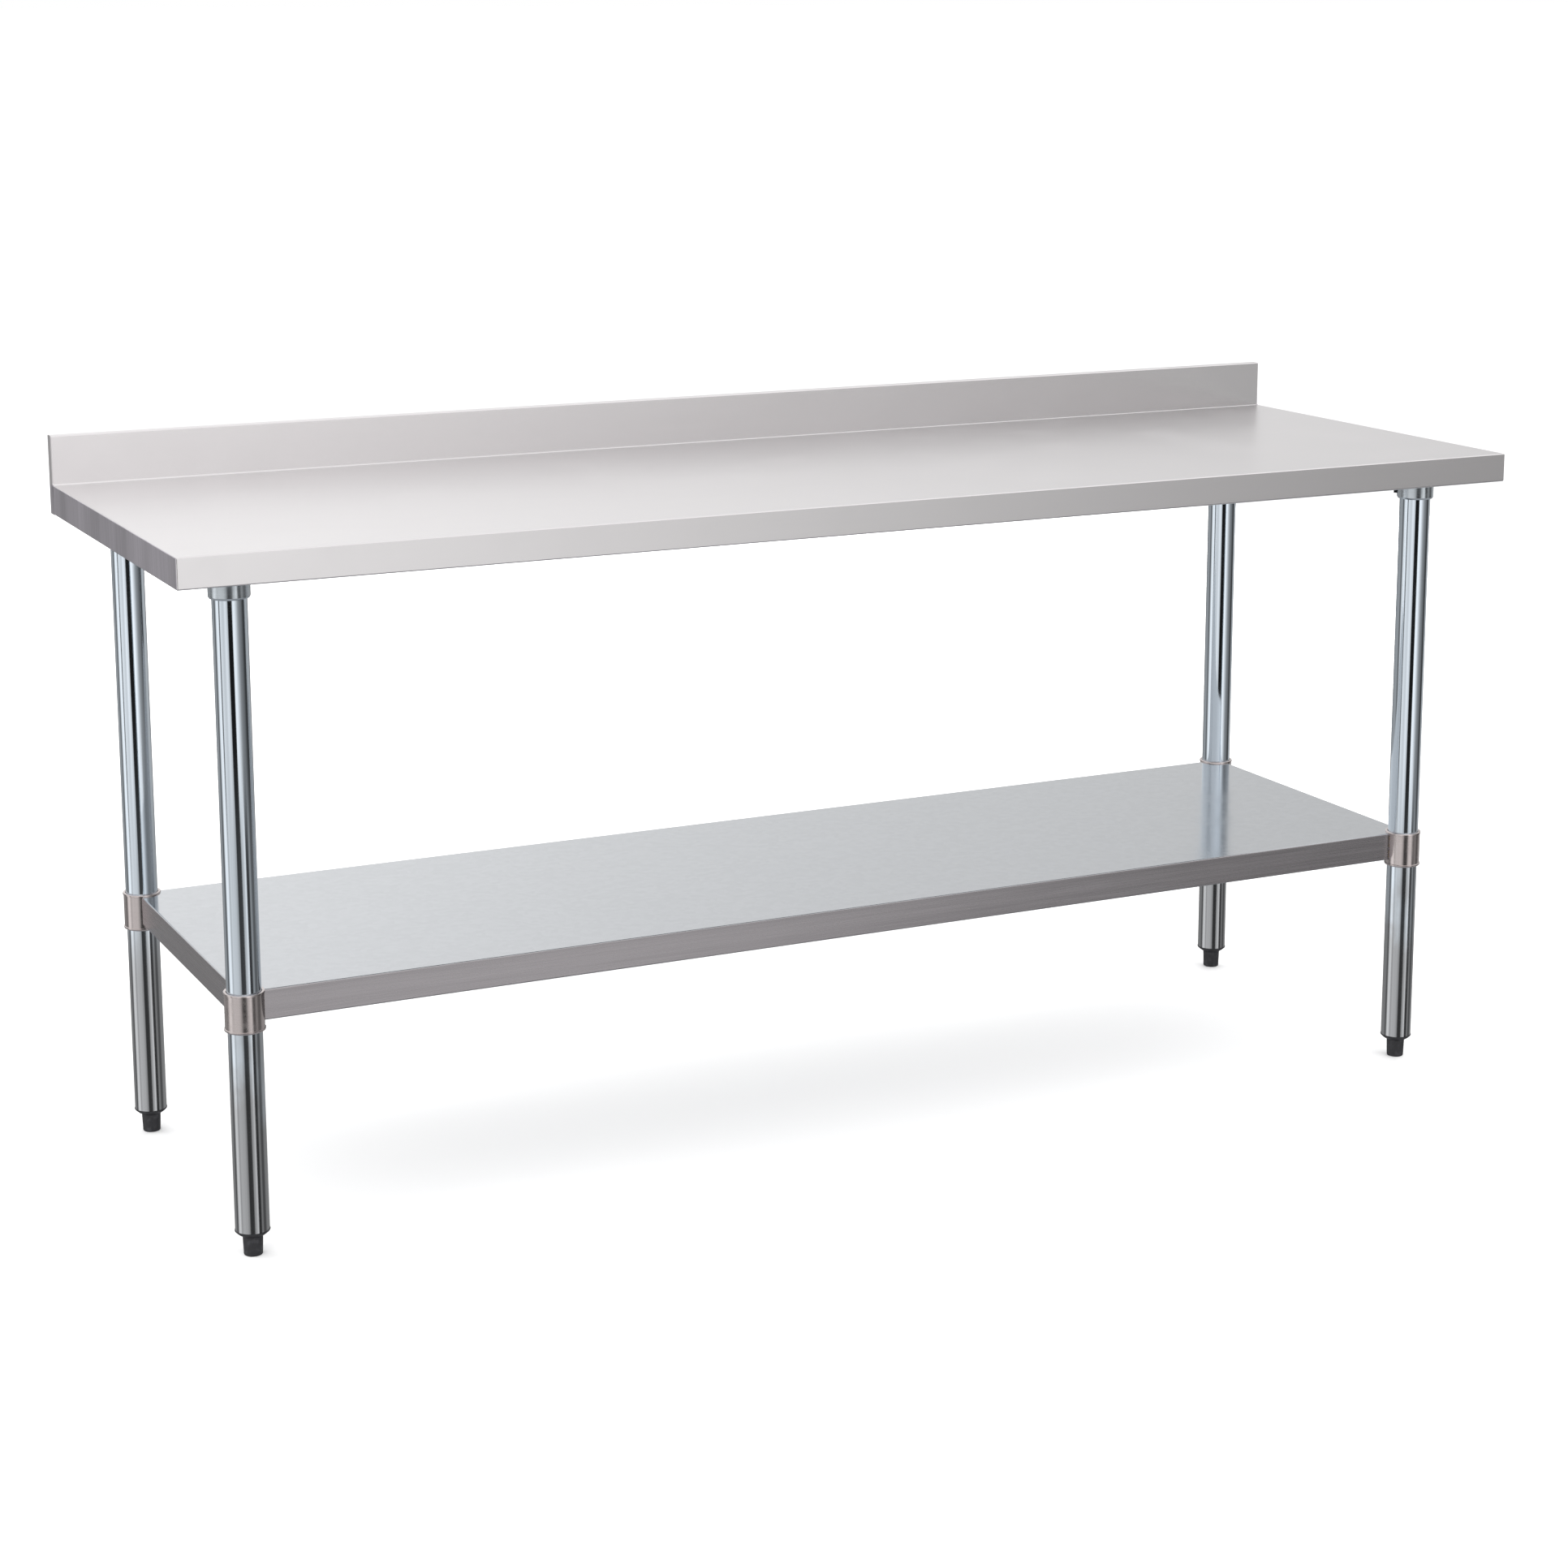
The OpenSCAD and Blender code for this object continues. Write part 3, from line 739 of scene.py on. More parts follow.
def bright_tube():
    """Bright drawn tube with lengthwise draw marks, painted darker below the shelf as shade and a little rougher there.
    """
    f = finishes()
    material, n, shader, place = new_material("bright_leg_tube", 1.0, 0.1, f.tube)
    where = place.outputs["Object"]
    drawn = use_group(n, group("grain"), n.stretched(where, (620, 620, 2.2)), Depth=0.5, Patchiness=0.7)
    marks = use_group(n, group("marks"), n.stretched(where, (2, 2, 0.9)), Amount=0.06)
    tone = n.math("ADD", 1.0, n.math("ADD", n.math("MULTIPLY", drawn.outputs[0], 0.4), drawn.outputs[1]))
    split = n.add("ShaderNodeSeparateXYZ")
    n.feed(split.inputs[0], where)
    # Painted shade: below the shelf the tube colour blends to a darker grey; the wiping marks only break up its edge.
    # The roughness also rises a little there.
    below_shelf_shade_and_dulling = n.ramp(n.math("ADD", split.outputs["Z"], n.math("MULTIPLY", marks.outputs[0], 2.0)), SHELF_Z + 0.02, SHELF_Z - 0.12)
    n.feed(shader.inputs["Base Color"], n.tint(n.blend(below_shelf_shade_and_dulling, tuple(f.tube), tuple(f.tube_below_shelf_shade)), tone))
    dull = n.math("ADD", 0.07, n.math("MULTIPLY", below_shelf_shade_and_dulling, 0.05))
    n.feed(shader.inputs["Roughness"], n.math("ADD", dull, n.math("ADD", n.math("MULTIPLY", drawn.outputs[0], 0.1), marks.outputs[0]), clamp=True))
    raise_bump(n, shader, drawn.outputs[0], 0.10, 0.00008)
    return material


def turned_metal(name, base, roughness, rings=2600, contrast=0.35, strength=0.1):
    """Machined metal with fine turning marks round the upright axis."""
    material, n, shader, place = new_material(name, 1.0, roughness, base)
    where = place.outputs["Object"]
    marks = use_group(n, group("grain"), n.stretched(where, (30, 30, rings)), Depth=contrast, Patchiness=contrast)
    wipe = use_group(n, group("marks"), n.stretched(where, (6, 6, 6)), Amount=0.1)
    tone = n.math("ADD", 1.0, n.math("ADD", marks.outputs[0], marks.outputs[1]))
    n.feed(shader.inputs["Base Color"], n.tint(tuple(base), tone))
    n.feed(shader.inputs["Roughness"], n.math("ADD", roughness, n.math("ADD", n.math("MULTIPLY", marks.outputs[0], 0.25), wipe.outputs[0]), clamp=True))
    raise_bump(n, shader, marks.outputs[0], strength, 0.00005)
    return material


def plated_steel(name, base, roughness):
    """Plated or blackened steel, lightly mottled."""
    material, n, shader, place = new_material(name, 1.0, roughness, base)
    where = place.outputs["Object"]
    mottle = n.math("SUBTRACT", n.noise(where, 420.0, 3.0), 0.5)
    n.feed(shader.inputs["Base Color"], n.tint(tuple(base), n.math("ADD", 1.0, n.math("MULTIPLY", mottle, 0.5))))
    n.feed(shader.inputs["Roughness"], n.math("ADD", roughness, n.math("MULTIPLY", mottle, 0.25), clamp=True))
    raise_bump(n, shader, mottle, 0.15, 0.00008)
    return material


def moulded_plastic():
    """Black moulded plastic with a fine spark-eroded texture and rubbed high spots."""
    f = finishes()
    material, n, shader, place = new_material("black_moulded_plastic", 0.0, 0.5, f.black_plastic)
    shader.inputs["Specular IOR Level"].default_value = 0.45
    where = place.outputs["Object"]
    texture = n.noise(where, 2600.0, 2.0)
    rub = n.ramp(n.noise(where, 130.0, 3.0), 0.5, 0.72)
    tone = n.math("ADD", 1.0, n.math("MULTIPLY", rub, 0.9))
    n.feed(shader.inputs["Base Color"], n.tint(tuple(f.black_plastic), tone))
    n.feed(shader.inputs["Roughness"], n.math("ADD", n.math("MULTIPLY", texture, 0.16), n.math("SUBTRACT", 0.46, n.math("MULTIPLY", rub, 0.1))))
    raise_bump(n, shader, texture, 0.25, 0.00006)
    return material


def weld_metal():
    """Weld bead with straw and blue heat tint."""
    f = finishes()
    material, n, shader, place = new_material("weld_bead", 1.0, 0.42, f.weld)
    where = place.outputs["Object"]
    heat = n.noise(where, 160.0, 3.0)
    straw = n.blend(n.ramp(heat, 0.4, 0.6), tuple(f.weld), (0.42, 0.34, 0.22))
    n.feed(shader.inputs["Base Color"], n.blend(n.ramp(heat, 0.58, 0.72), straw, (0.18, 0.21, 0.32)))
    n.feed(shader.inputs["Roughness"], n.ramp(heat, 0.3, 0.7, 0.34, 0.52))
    raise_bump(n, shader, n.noise(where, 900.0, 2.0), 0.3, 0.0001)
    return material


MATERIALS = {}


def finish(name):
    """A finish of the table, made the first time it is asked for."""
    f = finishes()
    makers = {
        "stainless_top": stainless_top,
        "stainless_end": stainless_end,
        "galvanized_shelf": galvanized_shelf,
        "galvanized_channel": galvanized_channel,
        "leg_tube": bright_tube,
        "leg_socket": lambda: turned_metal("zinc_plated_socket", f.socket, 0.2),
        "shelf_collar": lambda: turned_metal("satin_collar", f.collar, 0.2, contrast=0.16, strength=0.04),
        "zinc_hardware": lambda: plated_steel("zinc_plated_hardware", f.zinc, 0.34),
        "set_screw": lambda: plated_steel("blackened_screw", f.black_oxide, 0.38),
        "black_plastic": moulded_plastic,
        "weld": weld_metal,
    }
    if name not in MATERIALS:
        MATERIALS[name] = makers[name]()
    return MATERIALS[name]


# ---------------------------------------------------------------- the table's pieces


class WORK_TABLE_OT_work_top(bpy.types.Operator):
    """Folds the work top out of one sheet, turned down at the front and ends and up at the back"""

    bl_idname = "work_table.work_top"
    bl_label = "Work Top"

    def execute(self, context):
        s = sizes()
        low, high, _ = span("worktop")
        inner_end = span("splash_end_right")[0]
        rear = inner_end.y
        face = rear + s.cove
        over = Vector((0, rear, WORK_Z))

        piece = begin(bpy.ops.mesh.primitive_plane_add, size=1)
        stretch((0, 0, 0), high.x - low.x, rear - low.y, 1)
        shift(0, (low.y + rear) / 2, WORK_Z)
        self.rim(low, high, rear, s, over)

        pick("EDGE", along(lambda v: near(v.y, rear) and near(v.z, WORK_Z)))
        pull(0, s.cove, 0)
        stretch((0, face, WORK_Z), inner_end.x / high.x, 1, 1)
        pull(0, 0, high.z - WORK_Z)
        pull(0, high.y - face, 0)
        pull(0, 0, -s.lip)

        on_rim = lambda v: near(v.y, low.y) or near(abs(v.x), high.x)
        folds(
            lambda v: near(v.z, WORK_Z) and on_rim(v) and v.y < rear + 1e-5,
            lambda v: near(v.z, low.z) and on_rim(v),
            lambda v: near(v.y, low.y) and near(v.x, high.x),
            lambda v: near(v.y, low.y) and near(v.x, low.x),
            lambda v: near(v.z, high.z) and near(v.y, face),
            lambda v: near(v.z, high.z) and near(v.y, high.y),
        )
        bend(s.fold)
        folds(lambda v: near(v.z, WORK_Z) and near(v.y, face))
        bend(0.98 * s.cove, 6)
        finish_sheet(piece, "folded_work_top", s.top_sheet)
        hand_over(piece, "frame", ["worktop"], "stainless_top")
        for name in ("splash_end_left", "splash_end_right"):
            frame["nodes"][name].data.materials[0] = finish("stainless_end")
        return {"FINISHED"}

    @staticmethod
    def rim(low, high, rear, s, over):
        """Turns the front and the ends down and folds the lip in."""
        pick("EDGE", lambda e: not along(lambda v: near(v.y, rear))(e))
        pull(0, 0, low.z - WORK_Z)
        pull(0, 0, 0)
        stretch((over.x, over.y, low.z), 1 - s.lip / high.x, 1 - s.lip / (rear - low.y), 1)


def finish_sheet(piece, name, thickness):
    """Gives an open sheet its thickness on the inner side, and even shading."""
    bpy.ops.mesh.select_all(action="SELECT")
    bpy.ops.mesh.normals_make_consistent(inside=False)
    widest = max(bmesh.from_edit_mesh(piece.data).faces, key=lambda face: face.calc_area())
    if widest.normal.z < 0:
        bpy.ops.mesh.flip_normals()
    modify(piece, "SOLIDIFY", thickness=thickness, offset=-1.0, use_even_offset=True, use_quality_normals=True)
    settle(piece, name, 30)
    modify(piece, "WEIGHTED_NORMAL", keep_sharp=True)
    return piece


class WORK_TABLE_OT_undershelf(bpy.types.Operator):
    """Folds the shelf with its rim turned down all round, and notches its corners round the collars"""

    bl_idname = "work_table.undershelf"
    bl_label = "Undershelf"

    def execute(self, context):
        s = sizes()
        low, high, middle = span("undershelf")
        size = high - low
        piece = begin(bpy.ops.mesh.primitive_plane_add, size=1)
        stretch((0, 0, 0), size.x, size.y, 1)
        shift(middle.x, middle.y, SHELF_Z)
        pick("EDGE", lambda e: True)
        pull_edges(0, 0, low.z - SHELF_Z)
        pick("EDGE", along(lambda v: near(v.z, low.z)))
        pull_edges(0, 0, 0)
        stretch((middle.x, middle.y, low.z), 1 - 2 * s.lip / size.x, 1 - 2 * s.lip / size.y, 1)
        on_rim = lambda v: near(v.y, low.y) or near(v.y, high.y) or near(v.x, low.x) or near(v.x, high.x)
        corners = [(x, y) for x in (low.x, high.x) for y in (low.y, high.y)]
        folds(
            lambda v: near(v.z, SHELF_Z) and on_rim(v),
            lambda v: near(v.z, low.z) and on_rim(v),
            *[lambda v, x=x, y=y: near(v.x, x) and near(v.y, y) for x, y in corners],
        )
        bend(s.fold)
        finish_sheet(piece, "folded_shelf", s.shelf_sheet)
        for corner in CORNERS:
            ring_low, ring_high, _ = span("shelf_collar_" + corner)
            cutter = bar((ring_high.x - ring_low.x) / 2, low.z - 5 * MM, SHELF_Z + 5 * MM, 96)
            cutter.data.transform(Matrix.Translation(leg_axis(corner)))
            cut(piece, cutter)
        settle(piece, "folded_shelf", 30)
        modify(piece, "WEIGHTED_NORMAL", keep_sharp=True)
        hand_over(piece, "shelf", ["undershelf"], "galvanized_shelf")
        return {"FINISHED"}


class WORK_TABLE_OT_channels(bpy.types.Operator):
    """Folds the hat channels under the work top and under the shelf"""

    bl_idname = "work_table.channels"
    bl_label = "Channels"

    def execute(self, context):
        places = [(low, high) for low, high in clusters("weld_studs")]
        for node in ("cross_channel_left", "cross_channel_right"):
            self.channel(node, "Y", places, "frame")
        self.channel("long_channel", "X", places, "frame")
        self.channel("shelf_channel", "X", [], "shelf")
        return {"FINISHED"}

    def channel(self, node, run, studs, body):
        """One hat channel along X or Y: foot, web, crown, web, foot."""
        s = sizes()
        low, high, middle = span(node)
        lengthwise = run == "X"
        long = high.x - low.x if lengthwise else high.y - low.y
        wide = high.y - low.y if lengthwise else high.x - low.x
        crown = wide - 2 * s.channel_foot
        drop = high.z - low.z - s.channel_sheet
        piece = begin(bpy.ops.mesh.primitive_plane_add, size=1)
        stretch((0, 0, 0), long, crown, 1)
        for side in (-1, 1):
            pick("EDGE", along(lambda v: near(v.y, side * crown / 2) and near(v.z, 0)))
            pull(0, 0, drop)
            pull(0, side * s.channel_foot, 0)
        folds(lambda v: near(v.z, 0) and near(abs(v.y), crown / 2))
        bend(s.channel_bend)
        folds(lambda v: near(v.z, drop) and near(abs(v.y), crown / 2))
        bend(s.channel_bend - s.channel_sheet)
        bpy.ops.mesh.select_all(action="SELECT")
        if not lengthwise:
            bpy.ops.transform.rotate(value=math.pi / 2, orient_axis="Z", center_override=(0, 0, 0))
        shift(middle.x, middle.y, low.z)
        bpy.ops.mesh.normals_make_consistent(inside=False)
        widest = max(bmesh.from_edit_mesh(piece.data).faces, key=lambda face: face.calc_area())
        if widest.normal.z > 0:
            bpy.ops.mesh.flip_normals()
        modify(piece, "SOLIDIFY", thickness=s.channel_sheet, offset=-1.0, use_even_offset=True)
        for stud_low, stud_high in studs:
            at = (stud_low + stud_high) / 2
            if low.x < at.x < high.x and low.y < at.y < high.y:
                cutter = bar(s.weld_stud / 2 + 0.3 * MM, high.z - 4 * MM, high.z + 2 * MM, 24)
                cutter.data.transform(Matrix.Translation((at.x, at.y, 0)))
                cut(piece, cutter)
        settle(piece, node.replace("channel", "hat_channel"), 30)
        modify(piece, "WEIGHTED_NORMAL", keep_sharp=True)
        hand_over(piece, body, [node], "galvanized_channel")


class WORK_TABLE_OT_legs(bpy.types.Operator):
    """Draws the four leg tubes"""

    bl_idname = "work_table.legs"
    bl_label = "Legs"

    def execute(self, context):
        s = sizes()
        low, high, _ = span("leg_front_left")
        radius = (high.x - low.x) / 2
        bore = radius - s.tube_wall
        soft = 0.25 * MM
        outline = [
            (bore, low.z + soft), (bore + soft, low.z), (radius - soft, low.z), (radius, low.z + soft),
            (radius, high.z - soft), (radius - soft, high.z), (bore + soft, high.z), (bore, high.z - soft),
        ]
        tube = turned("leg_tube", outline, steps=128)
        for corner in CORNERS:
            leg = copied(tube, "tube_" + corner, leg_axis(corner))
            hand_over(leg, "frame", ["leg_" + corner], "leg_tube")
        dropped(tube)
        return {"FINISHED"}


class WORK_TABLE_OT_sockets(bpy.types.Operator):
    """Turns the leg sockets, with their weld plates, ribs and screw holes"""

    bl_idname = "work_table.sockets"
    bl_label = "Leg Sockets"

    def execute(self, context):
        s = sizes()
        low, high, _ = span("leg_socket_front_left")
        screw_low, screw_high, _ = span("socket_set_screws")
        bore = leg_radius() + s.socket_gap
        wide = high.x - low.x
        radius = wide / 2 - s.plate_rim
        seat = high.z - s.plate
        lead = 2.5 * MM
        cup = turned(
            "cup",
            [
                (bore, low.z + 0.6 * MM), (bore + 0.6 * MM, low.z), (radius - lead / 2 - 0.4 * MM, low.z),
                (radius - lead / 2, low.z + 0.2 * MM), (radius - 0.1 * MM, low.z + lead - 0.3 * MM),
                (radius, low.z + lead + 0.3 * MM), (radius, seat - 1.6 * MM), (radius + 0.5 * MM, seat - 0.5 * MM),
                (radius + 1.6 * MM, seat), (radius + 1.6 * MM, seat + 0.2 * MM), (bore, seat + 0.2 * MM),
            ],
            steps=128,
        )
        hole = bar(s.set_screw / 2 + 0.05 * MM, 0, 2 * radius)
        laid_down(hole, (0, 0, (screw_low.z + screw_high.z) / 2), Vector((1, 0, 0)))
        cut(cup, hole)

        plate = begin(bpy.ops.mesh.primitive_cube_add, size=1)
        stretch((0, 0, 0), wide, wide, s.plate)
        shift(0, 0, high.z - s.plate / 2)
        pick("EDGE", lambda e: near(e.verts[0].co.x, e.verts[1].co.x) and near(e.verts[0].co.y, e.verts[1].co.y))
        bend(2 * MM)
        pick("EDGE", lambda e: near(e.verts[0].co.z, e.verts[1].co.z) and e.calc_face_angle() > 1)
        bend(0.4 * MM, 2)
        settle(plate, "plate", 30)

        rib_height = (high.z - low.z) / 2
        rib_start = radius - (radius - bore) / 2
        rib_end = rib_start + wide / math.sqrt(2) - radius - s.plate_rim / 2
        rib = cut_out(
            "rib",
            [
                (rib_start, seat + s.plate / 2), (rib_start, seat - rib_height), (radius, seat - rib_height),
                (rib_end - 0.6 * MM, seat - 1.4 * MM), (rib_end, seat - 0.4 * MM), (rib_end, seat + s.plate / 2),
            ],
            s.plate,
        )
        only(rib)
        bpy.ops.object.mode_set(mode="EDIT")
        pick("EDGE", lambda e: e.calc_face_angle() > 1)
        bend(0.4 * MM, 2)
        settle(rib, "rib", 30)
        ribs = [copied(rib, "rib", (0, 0, 0), math.radians(45 + 90 * i)) for i in range(4)]
        dropped(rib)
        for corner in CORNERS:
            towards = math.atan2(inward(corner).y, inward(corner).x)
            parts = [copied(cup, "cup", leg_axis(corner), towards), copied(plate, "plate", leg_axis(corner))]
            parts += [copied(one, "rib", leg_axis(corner)) for one in ribs]
            socket = joined(parts, "cup_socket_" + corner)
            hand_over(socket, "frame", ["leg_socket_" + corner], "leg_socket")
        dropped(cup, plate, *ribs)
        return {"FINISHED"}


class WORK_TABLE_OT_collars(bpy.types.Operator):
    """Turns the shelf's collars, with a rim at both ends and a screw hole"""

    bl_idname = "work_table.collars"
    bl_label = "Shelf Collars"

    def execute(self, context):
        s = sizes()
        low, high, _ = span("shelf_collar_front_left")
        screw_low, screw_high, _ = span("shelf_set_screws")
        radius = (high.x - low.x) / 2
        bore = leg_radius() + s.collar_gap
        waist = radius - s.collar_waist
        rim = s.collar_rim
        soft = 0.4 * MM
        ring = turned(
            "ring",
            [
                (bore, low.z + soft), (bore + soft, low.z), (radius - MM, low.z), (radius - 0.3 * MM, low.z + 0.5 * MM),
                (radius, low.z + MM), (radius, low.z + MM + rim), (waist, low.z + 1.5 * MM + rim),
                (waist, high.z - 1.2 * MM - rim), (radius, high.z - 0.7 * MM - rim), (radius, high.z - 0.8 * MM),
                (radius - 0.2 * MM, high.z - 0.25 * MM), (radius - 0.7 * MM, high.z), (bore + soft, high.z),
                (bore, high.z - soft),
            ],
            steps=128,
        )
        hole = bar(s.set_screw / 2 + 0.05 * MM, 0, 2 * radius)
        laid_down(hole, (0, 0, (screw_low.z + screw_high.z) / 2), Vector((1, 0, 0)))
        settle(cut(ring, hole), "ring", 40)
        for corner in CORNERS:
            towards = math.atan2(inward(corner).y, inward(corner).x)
            collar = copied(ring, "ring_collar_" + corner, leg_axis(corner), towards)
            hand_over(collar, "shelf", ["shelf_collar_" + corner], "shelf_collar")
        dropped(ring)
        return {"FINISHED"}


class WORK_TABLE_OT_set_screws(bpy.types.Operator):
    """Cuts the threaded set screws of the sockets and of the collars"""

    bl_idname = "work_table.set_screws"
    bl_label = "Set Screws"

    def execute(self, context):
        collar_low, collar_high, _ = span("shelf_collar_front_left")
        socket_low, socket_high, _ = span("leg_socket_front_left")
        s = sizes()
        socket_radius = (socket_high.x - socket_low.x) / 2 - s.plate_rim
        collar_radius = (collar_high.x - collar_low.x) / 2
        self.screws("socket_set_screws", "frame", leg_radius(), socket_radius + s.set_screw_out)
        self.screws("shelf_set_screws", "shelf", leg_radius() + 0.3 * MM, collar_radius + s.set_screw_out)
        return {"FINISHED"}

    def screws(self, node, body, tip, out):
        """Four screws that point from the middle of the table at the legs."""
        s = sizes()
        length = out - tip
        key = s.set_screw / 2
        screw = threaded("screw", s.set_screw, s.set_screw_pitch, 0, length, MM)
        recess = bar(key / math.sqrt(3), length - key, length + MM, 6)
        settle(cut(screw, recess), "screw", 30)
        height = span(node)[2].z
        parts = []
        for corner in CORNERS:
            heading = inward(corner)
            one = copied(screw, "screw", (0, 0, 0))
            parts.append(laid_down(one, leg_axis(corner) + heading * tip + Vector((0, 0, height)), heading))
        dropped(screw)
        hand_over(joined(parts, node.replace("set_screws", "threaded_set_screws")), body, [node], "set_screw")


class WORK_TABLE_OT_weld_studs(bpy.types.Operator):
    """Cuts the weld studs under the work top and their flanged nuts"""

    bl_idname = "work_table.weld_studs"
    bl_label = "Weld Studs and Nuts"

    def execute(self, context):
        s = sizes()
        stud_low, stud_high = clusters("weld_studs")[0]
        long = stud_high.z - stud_low.z
        stud = threaded("stud", s.weld_stud, s.weld_stud_pitch, 0, long, 0.5 * MM, 24)
        nut_low, nut_high = clusters("weld_stud_nuts")[0]
        tall = nut_high.z - nut_low.z
        flange = (nut_high.x - nut_low.x) / 2
        flats = 1.6 * s.weld_stud
        point = flats / math.sqrt(3)
        bore = s.weld_stud / 2 + 0.05 * MM
        body = turned(
            "nut_body",
            [(bore, 0.5 * MM), (bore + 0.5 * MM, 0), (flats / 2 - 0.1 * MM, 0), (point, 0.5 * MM),
             (point, tall - 0.2 * MM), (bore, tall - 0.2 * MM)],
            steps=48,
        )
        six_flats(body, flats)
        skirt = turned(
            "nut_skirt",
            [(bore, tall), (bore, tall - 1.2 * MM), (flats / 2 + 0.2 * MM, tall - 1.2 * MM),
             (flange - 0.3 * MM, tall - 0.55 * MM), (flange, tall - 0.35 * MM), (flange, tall)],
            steps=48,
        )
        nut = joined([body, skirt], "nut")
        studs = [copied(stud, "stud", ((a + b) / 2).xy.to_3d() + Vector((0, 0, a.z)), 0.7 * i)
                 for i, (a, b) in enumerate(clusters("weld_studs"))]
        nuts = [copied(nut, "nut", ((a + b) / 2).xy.to_3d() + Vector((0, 0, a.z)), 1.1 * i)
                for i, (a, b) in enumerate(clusters("weld_stud_nuts"))]
        dropped(stud, nut)
        hand_over(joined(studs, "threaded_weld_studs"), "frame", ["weld_studs"], "zinc_hardware")
        hand_over(joined(nuts, "flanged_nuts"), "frame", ["weld_stud_nuts"], "zinc_hardware")
        return {"FINISHED"}


class WORK_TABLE_OT_feet(bpy.types.Operator):
    """Moulds the foot plugs and feet, and cuts their studs and nuts"""

    bl_idname = "work_table.feet"
    bl_label = "Feet"

    def execute(self, context):
        plug, tip, stud = self.plug(), self.tip(), self.stud()
        for corner in CORNERS:
            at = leg_axis(corner)
            hand_over(copied(plug, "plug_" + corner, at), "frame", ["foot_insert_" + corner], "black_plastic")
            hand_over(copied(tip, "foot_" + corner, at), "tip_" + corner, ["foot_tip_" + corner], "black_plastic")
            hand_over(copied(stud, "threaded_foot_stud_" + corner, at), "stud_" + corner, ["foot_stud_" + corner], "zinc_hardware")
        dropped(plug, tip, stud)
        self.nuts()
        return {"FINISHED"}

    def plug(self):
        """The plug with its flared rim, four gripping rings and nut pocket."""
        s = sizes()
        low, high, _ = span("foot_insert_front_left")
        nut_low, nut_high = clusters("foot_nuts")[0]
        tube_end = span("leg_front_left")[0].z
        flare = (high.x - low.x) / 2
        neck = (span("foot_tip_front_left")[1].x - leg_axis("front_left").x) + 0.6 * MM
        grip = leg_radius() - s.tube_wall - 0.15 * MM
        core = grip - 1.5 * MM
        bore = s.foot_stud / 2 + 0.4 * MM
        rise = tube_end - low.z
        outline = [
            (bore, low.z + 0.4 * MM), (bore + 0.4 * MM, low.z), (neck - 0.6 * MM, low.z), (neck, low.z + 0.3 * MM),
            (neck + 0.45 * (flare - neck), low.z + 0.3 * rise), (flare - 1.6 * MM, low.z + 0.62 * rise),
            (flare - 0.5 * MM, low.z + 0.76 * rise), (flare - 0.1 * MM, low.z + 0.86 * rise),
            (flare, low.z + 0.93 * rise), (flare - 0.1 * MM, tube_end - 0.1 * MM), (flare - 0.3 * MM, tube_end),
        ]
        ring = 2.4 * MM
        pitch = (high.z - tube_end - ring) / 3
        for i in range(4):
            foot = tube_end + i * pitch
            outline += [(grip, foot), (grip - 0.5 * MM, foot + ring)]
            if i < 3:
                outline += [(core, foot + ring), (core, foot + pitch)]
        outline += [(bore, high.z)]
        plug = turned("plug", outline, steps=96)
        pocket = bar((nut_high.y - nut_low.y + 0.2 * MM) / math.sqrt(3), nut_low.z, high.z + MM, 6)
        return settle(cut(plug, pocket), "plug", 35)

    def tip(self):
        """The tapered foot, with six wrench flats and a round-edged sole."""
        s = sizes()
        low, high, _ = span("foot_tip_front_left")
        stud_low = span("foot_stud_front_left")[0]
        top = (high.x - low.x) / 2
        sole = s.foot_sole / 2
        bore = s.foot_stud / 2 + 0.05 * MM
        edge = 1.5 * MM
        outline = [(0, low.z + 0.5 * MM), (sole - 4.5 * MM, low.z + 0.5 * MM), (sole - 4 * MM, low.z), (sole - edge, low.z)]
        outline += arc(sole - edge, low.z + edge, edge, -75, 0)
        outline += [
            (top - 0.5 * MM, high.z - 0.3 * MM), (top - 0.8 * MM, high.z), (bore + 0.4 * MM, high.z),
            (bore, high.z - 0.4 * MM), (bore, stud_low.z - 0.3 * MM), (0, stud_low.z - 0.3 * MM),
        ]
        return six_flats(turned("tip", outline, steps=96, closed=False), high.y - low.y)

    def stud(self):
        """The stud that a foot climbs on."""
        s = sizes()
        low, high, _ = span("foot_stud_front_left")
        return threaded("stud", s.foot_stud, s.foot_stud_pitch, low.z, high.z, MM)

    def nuts(self):
        """The nuts in the plugs' pockets."""
        s = sizes()
        solids = clusters("foot_nuts")
        low, high = solids[0]
        flats = high.y - low.y
        point = flats / math.sqrt(3)
        bore = s.foot_stud / 2 + 0.05 * MM
        nut = turned(
            "nut",
            [(bore, low.z + 0.8 * MM), (bore + 0.8 * MM, low.z), (flats / 2 - 0.1 * MM, low.z), (point, low.z + 0.9 * MM),
             (point, high.z - 0.9 * MM), (flats / 2 - 0.1 * MM, high.z), (bore + 0.8 * MM, high.z), (bore, high.z - 0.8 * MM)],
            steps=48,
        )
        six_flats(nut, flats)
        parts = [copied(nut, "nut", leg_axis(corner)) for corner in CORNERS]
        dropped(nut)
        hand_over(joined(parts, "pocket_nuts"), "frame", ["foot_nuts"], "zinc_hardware")


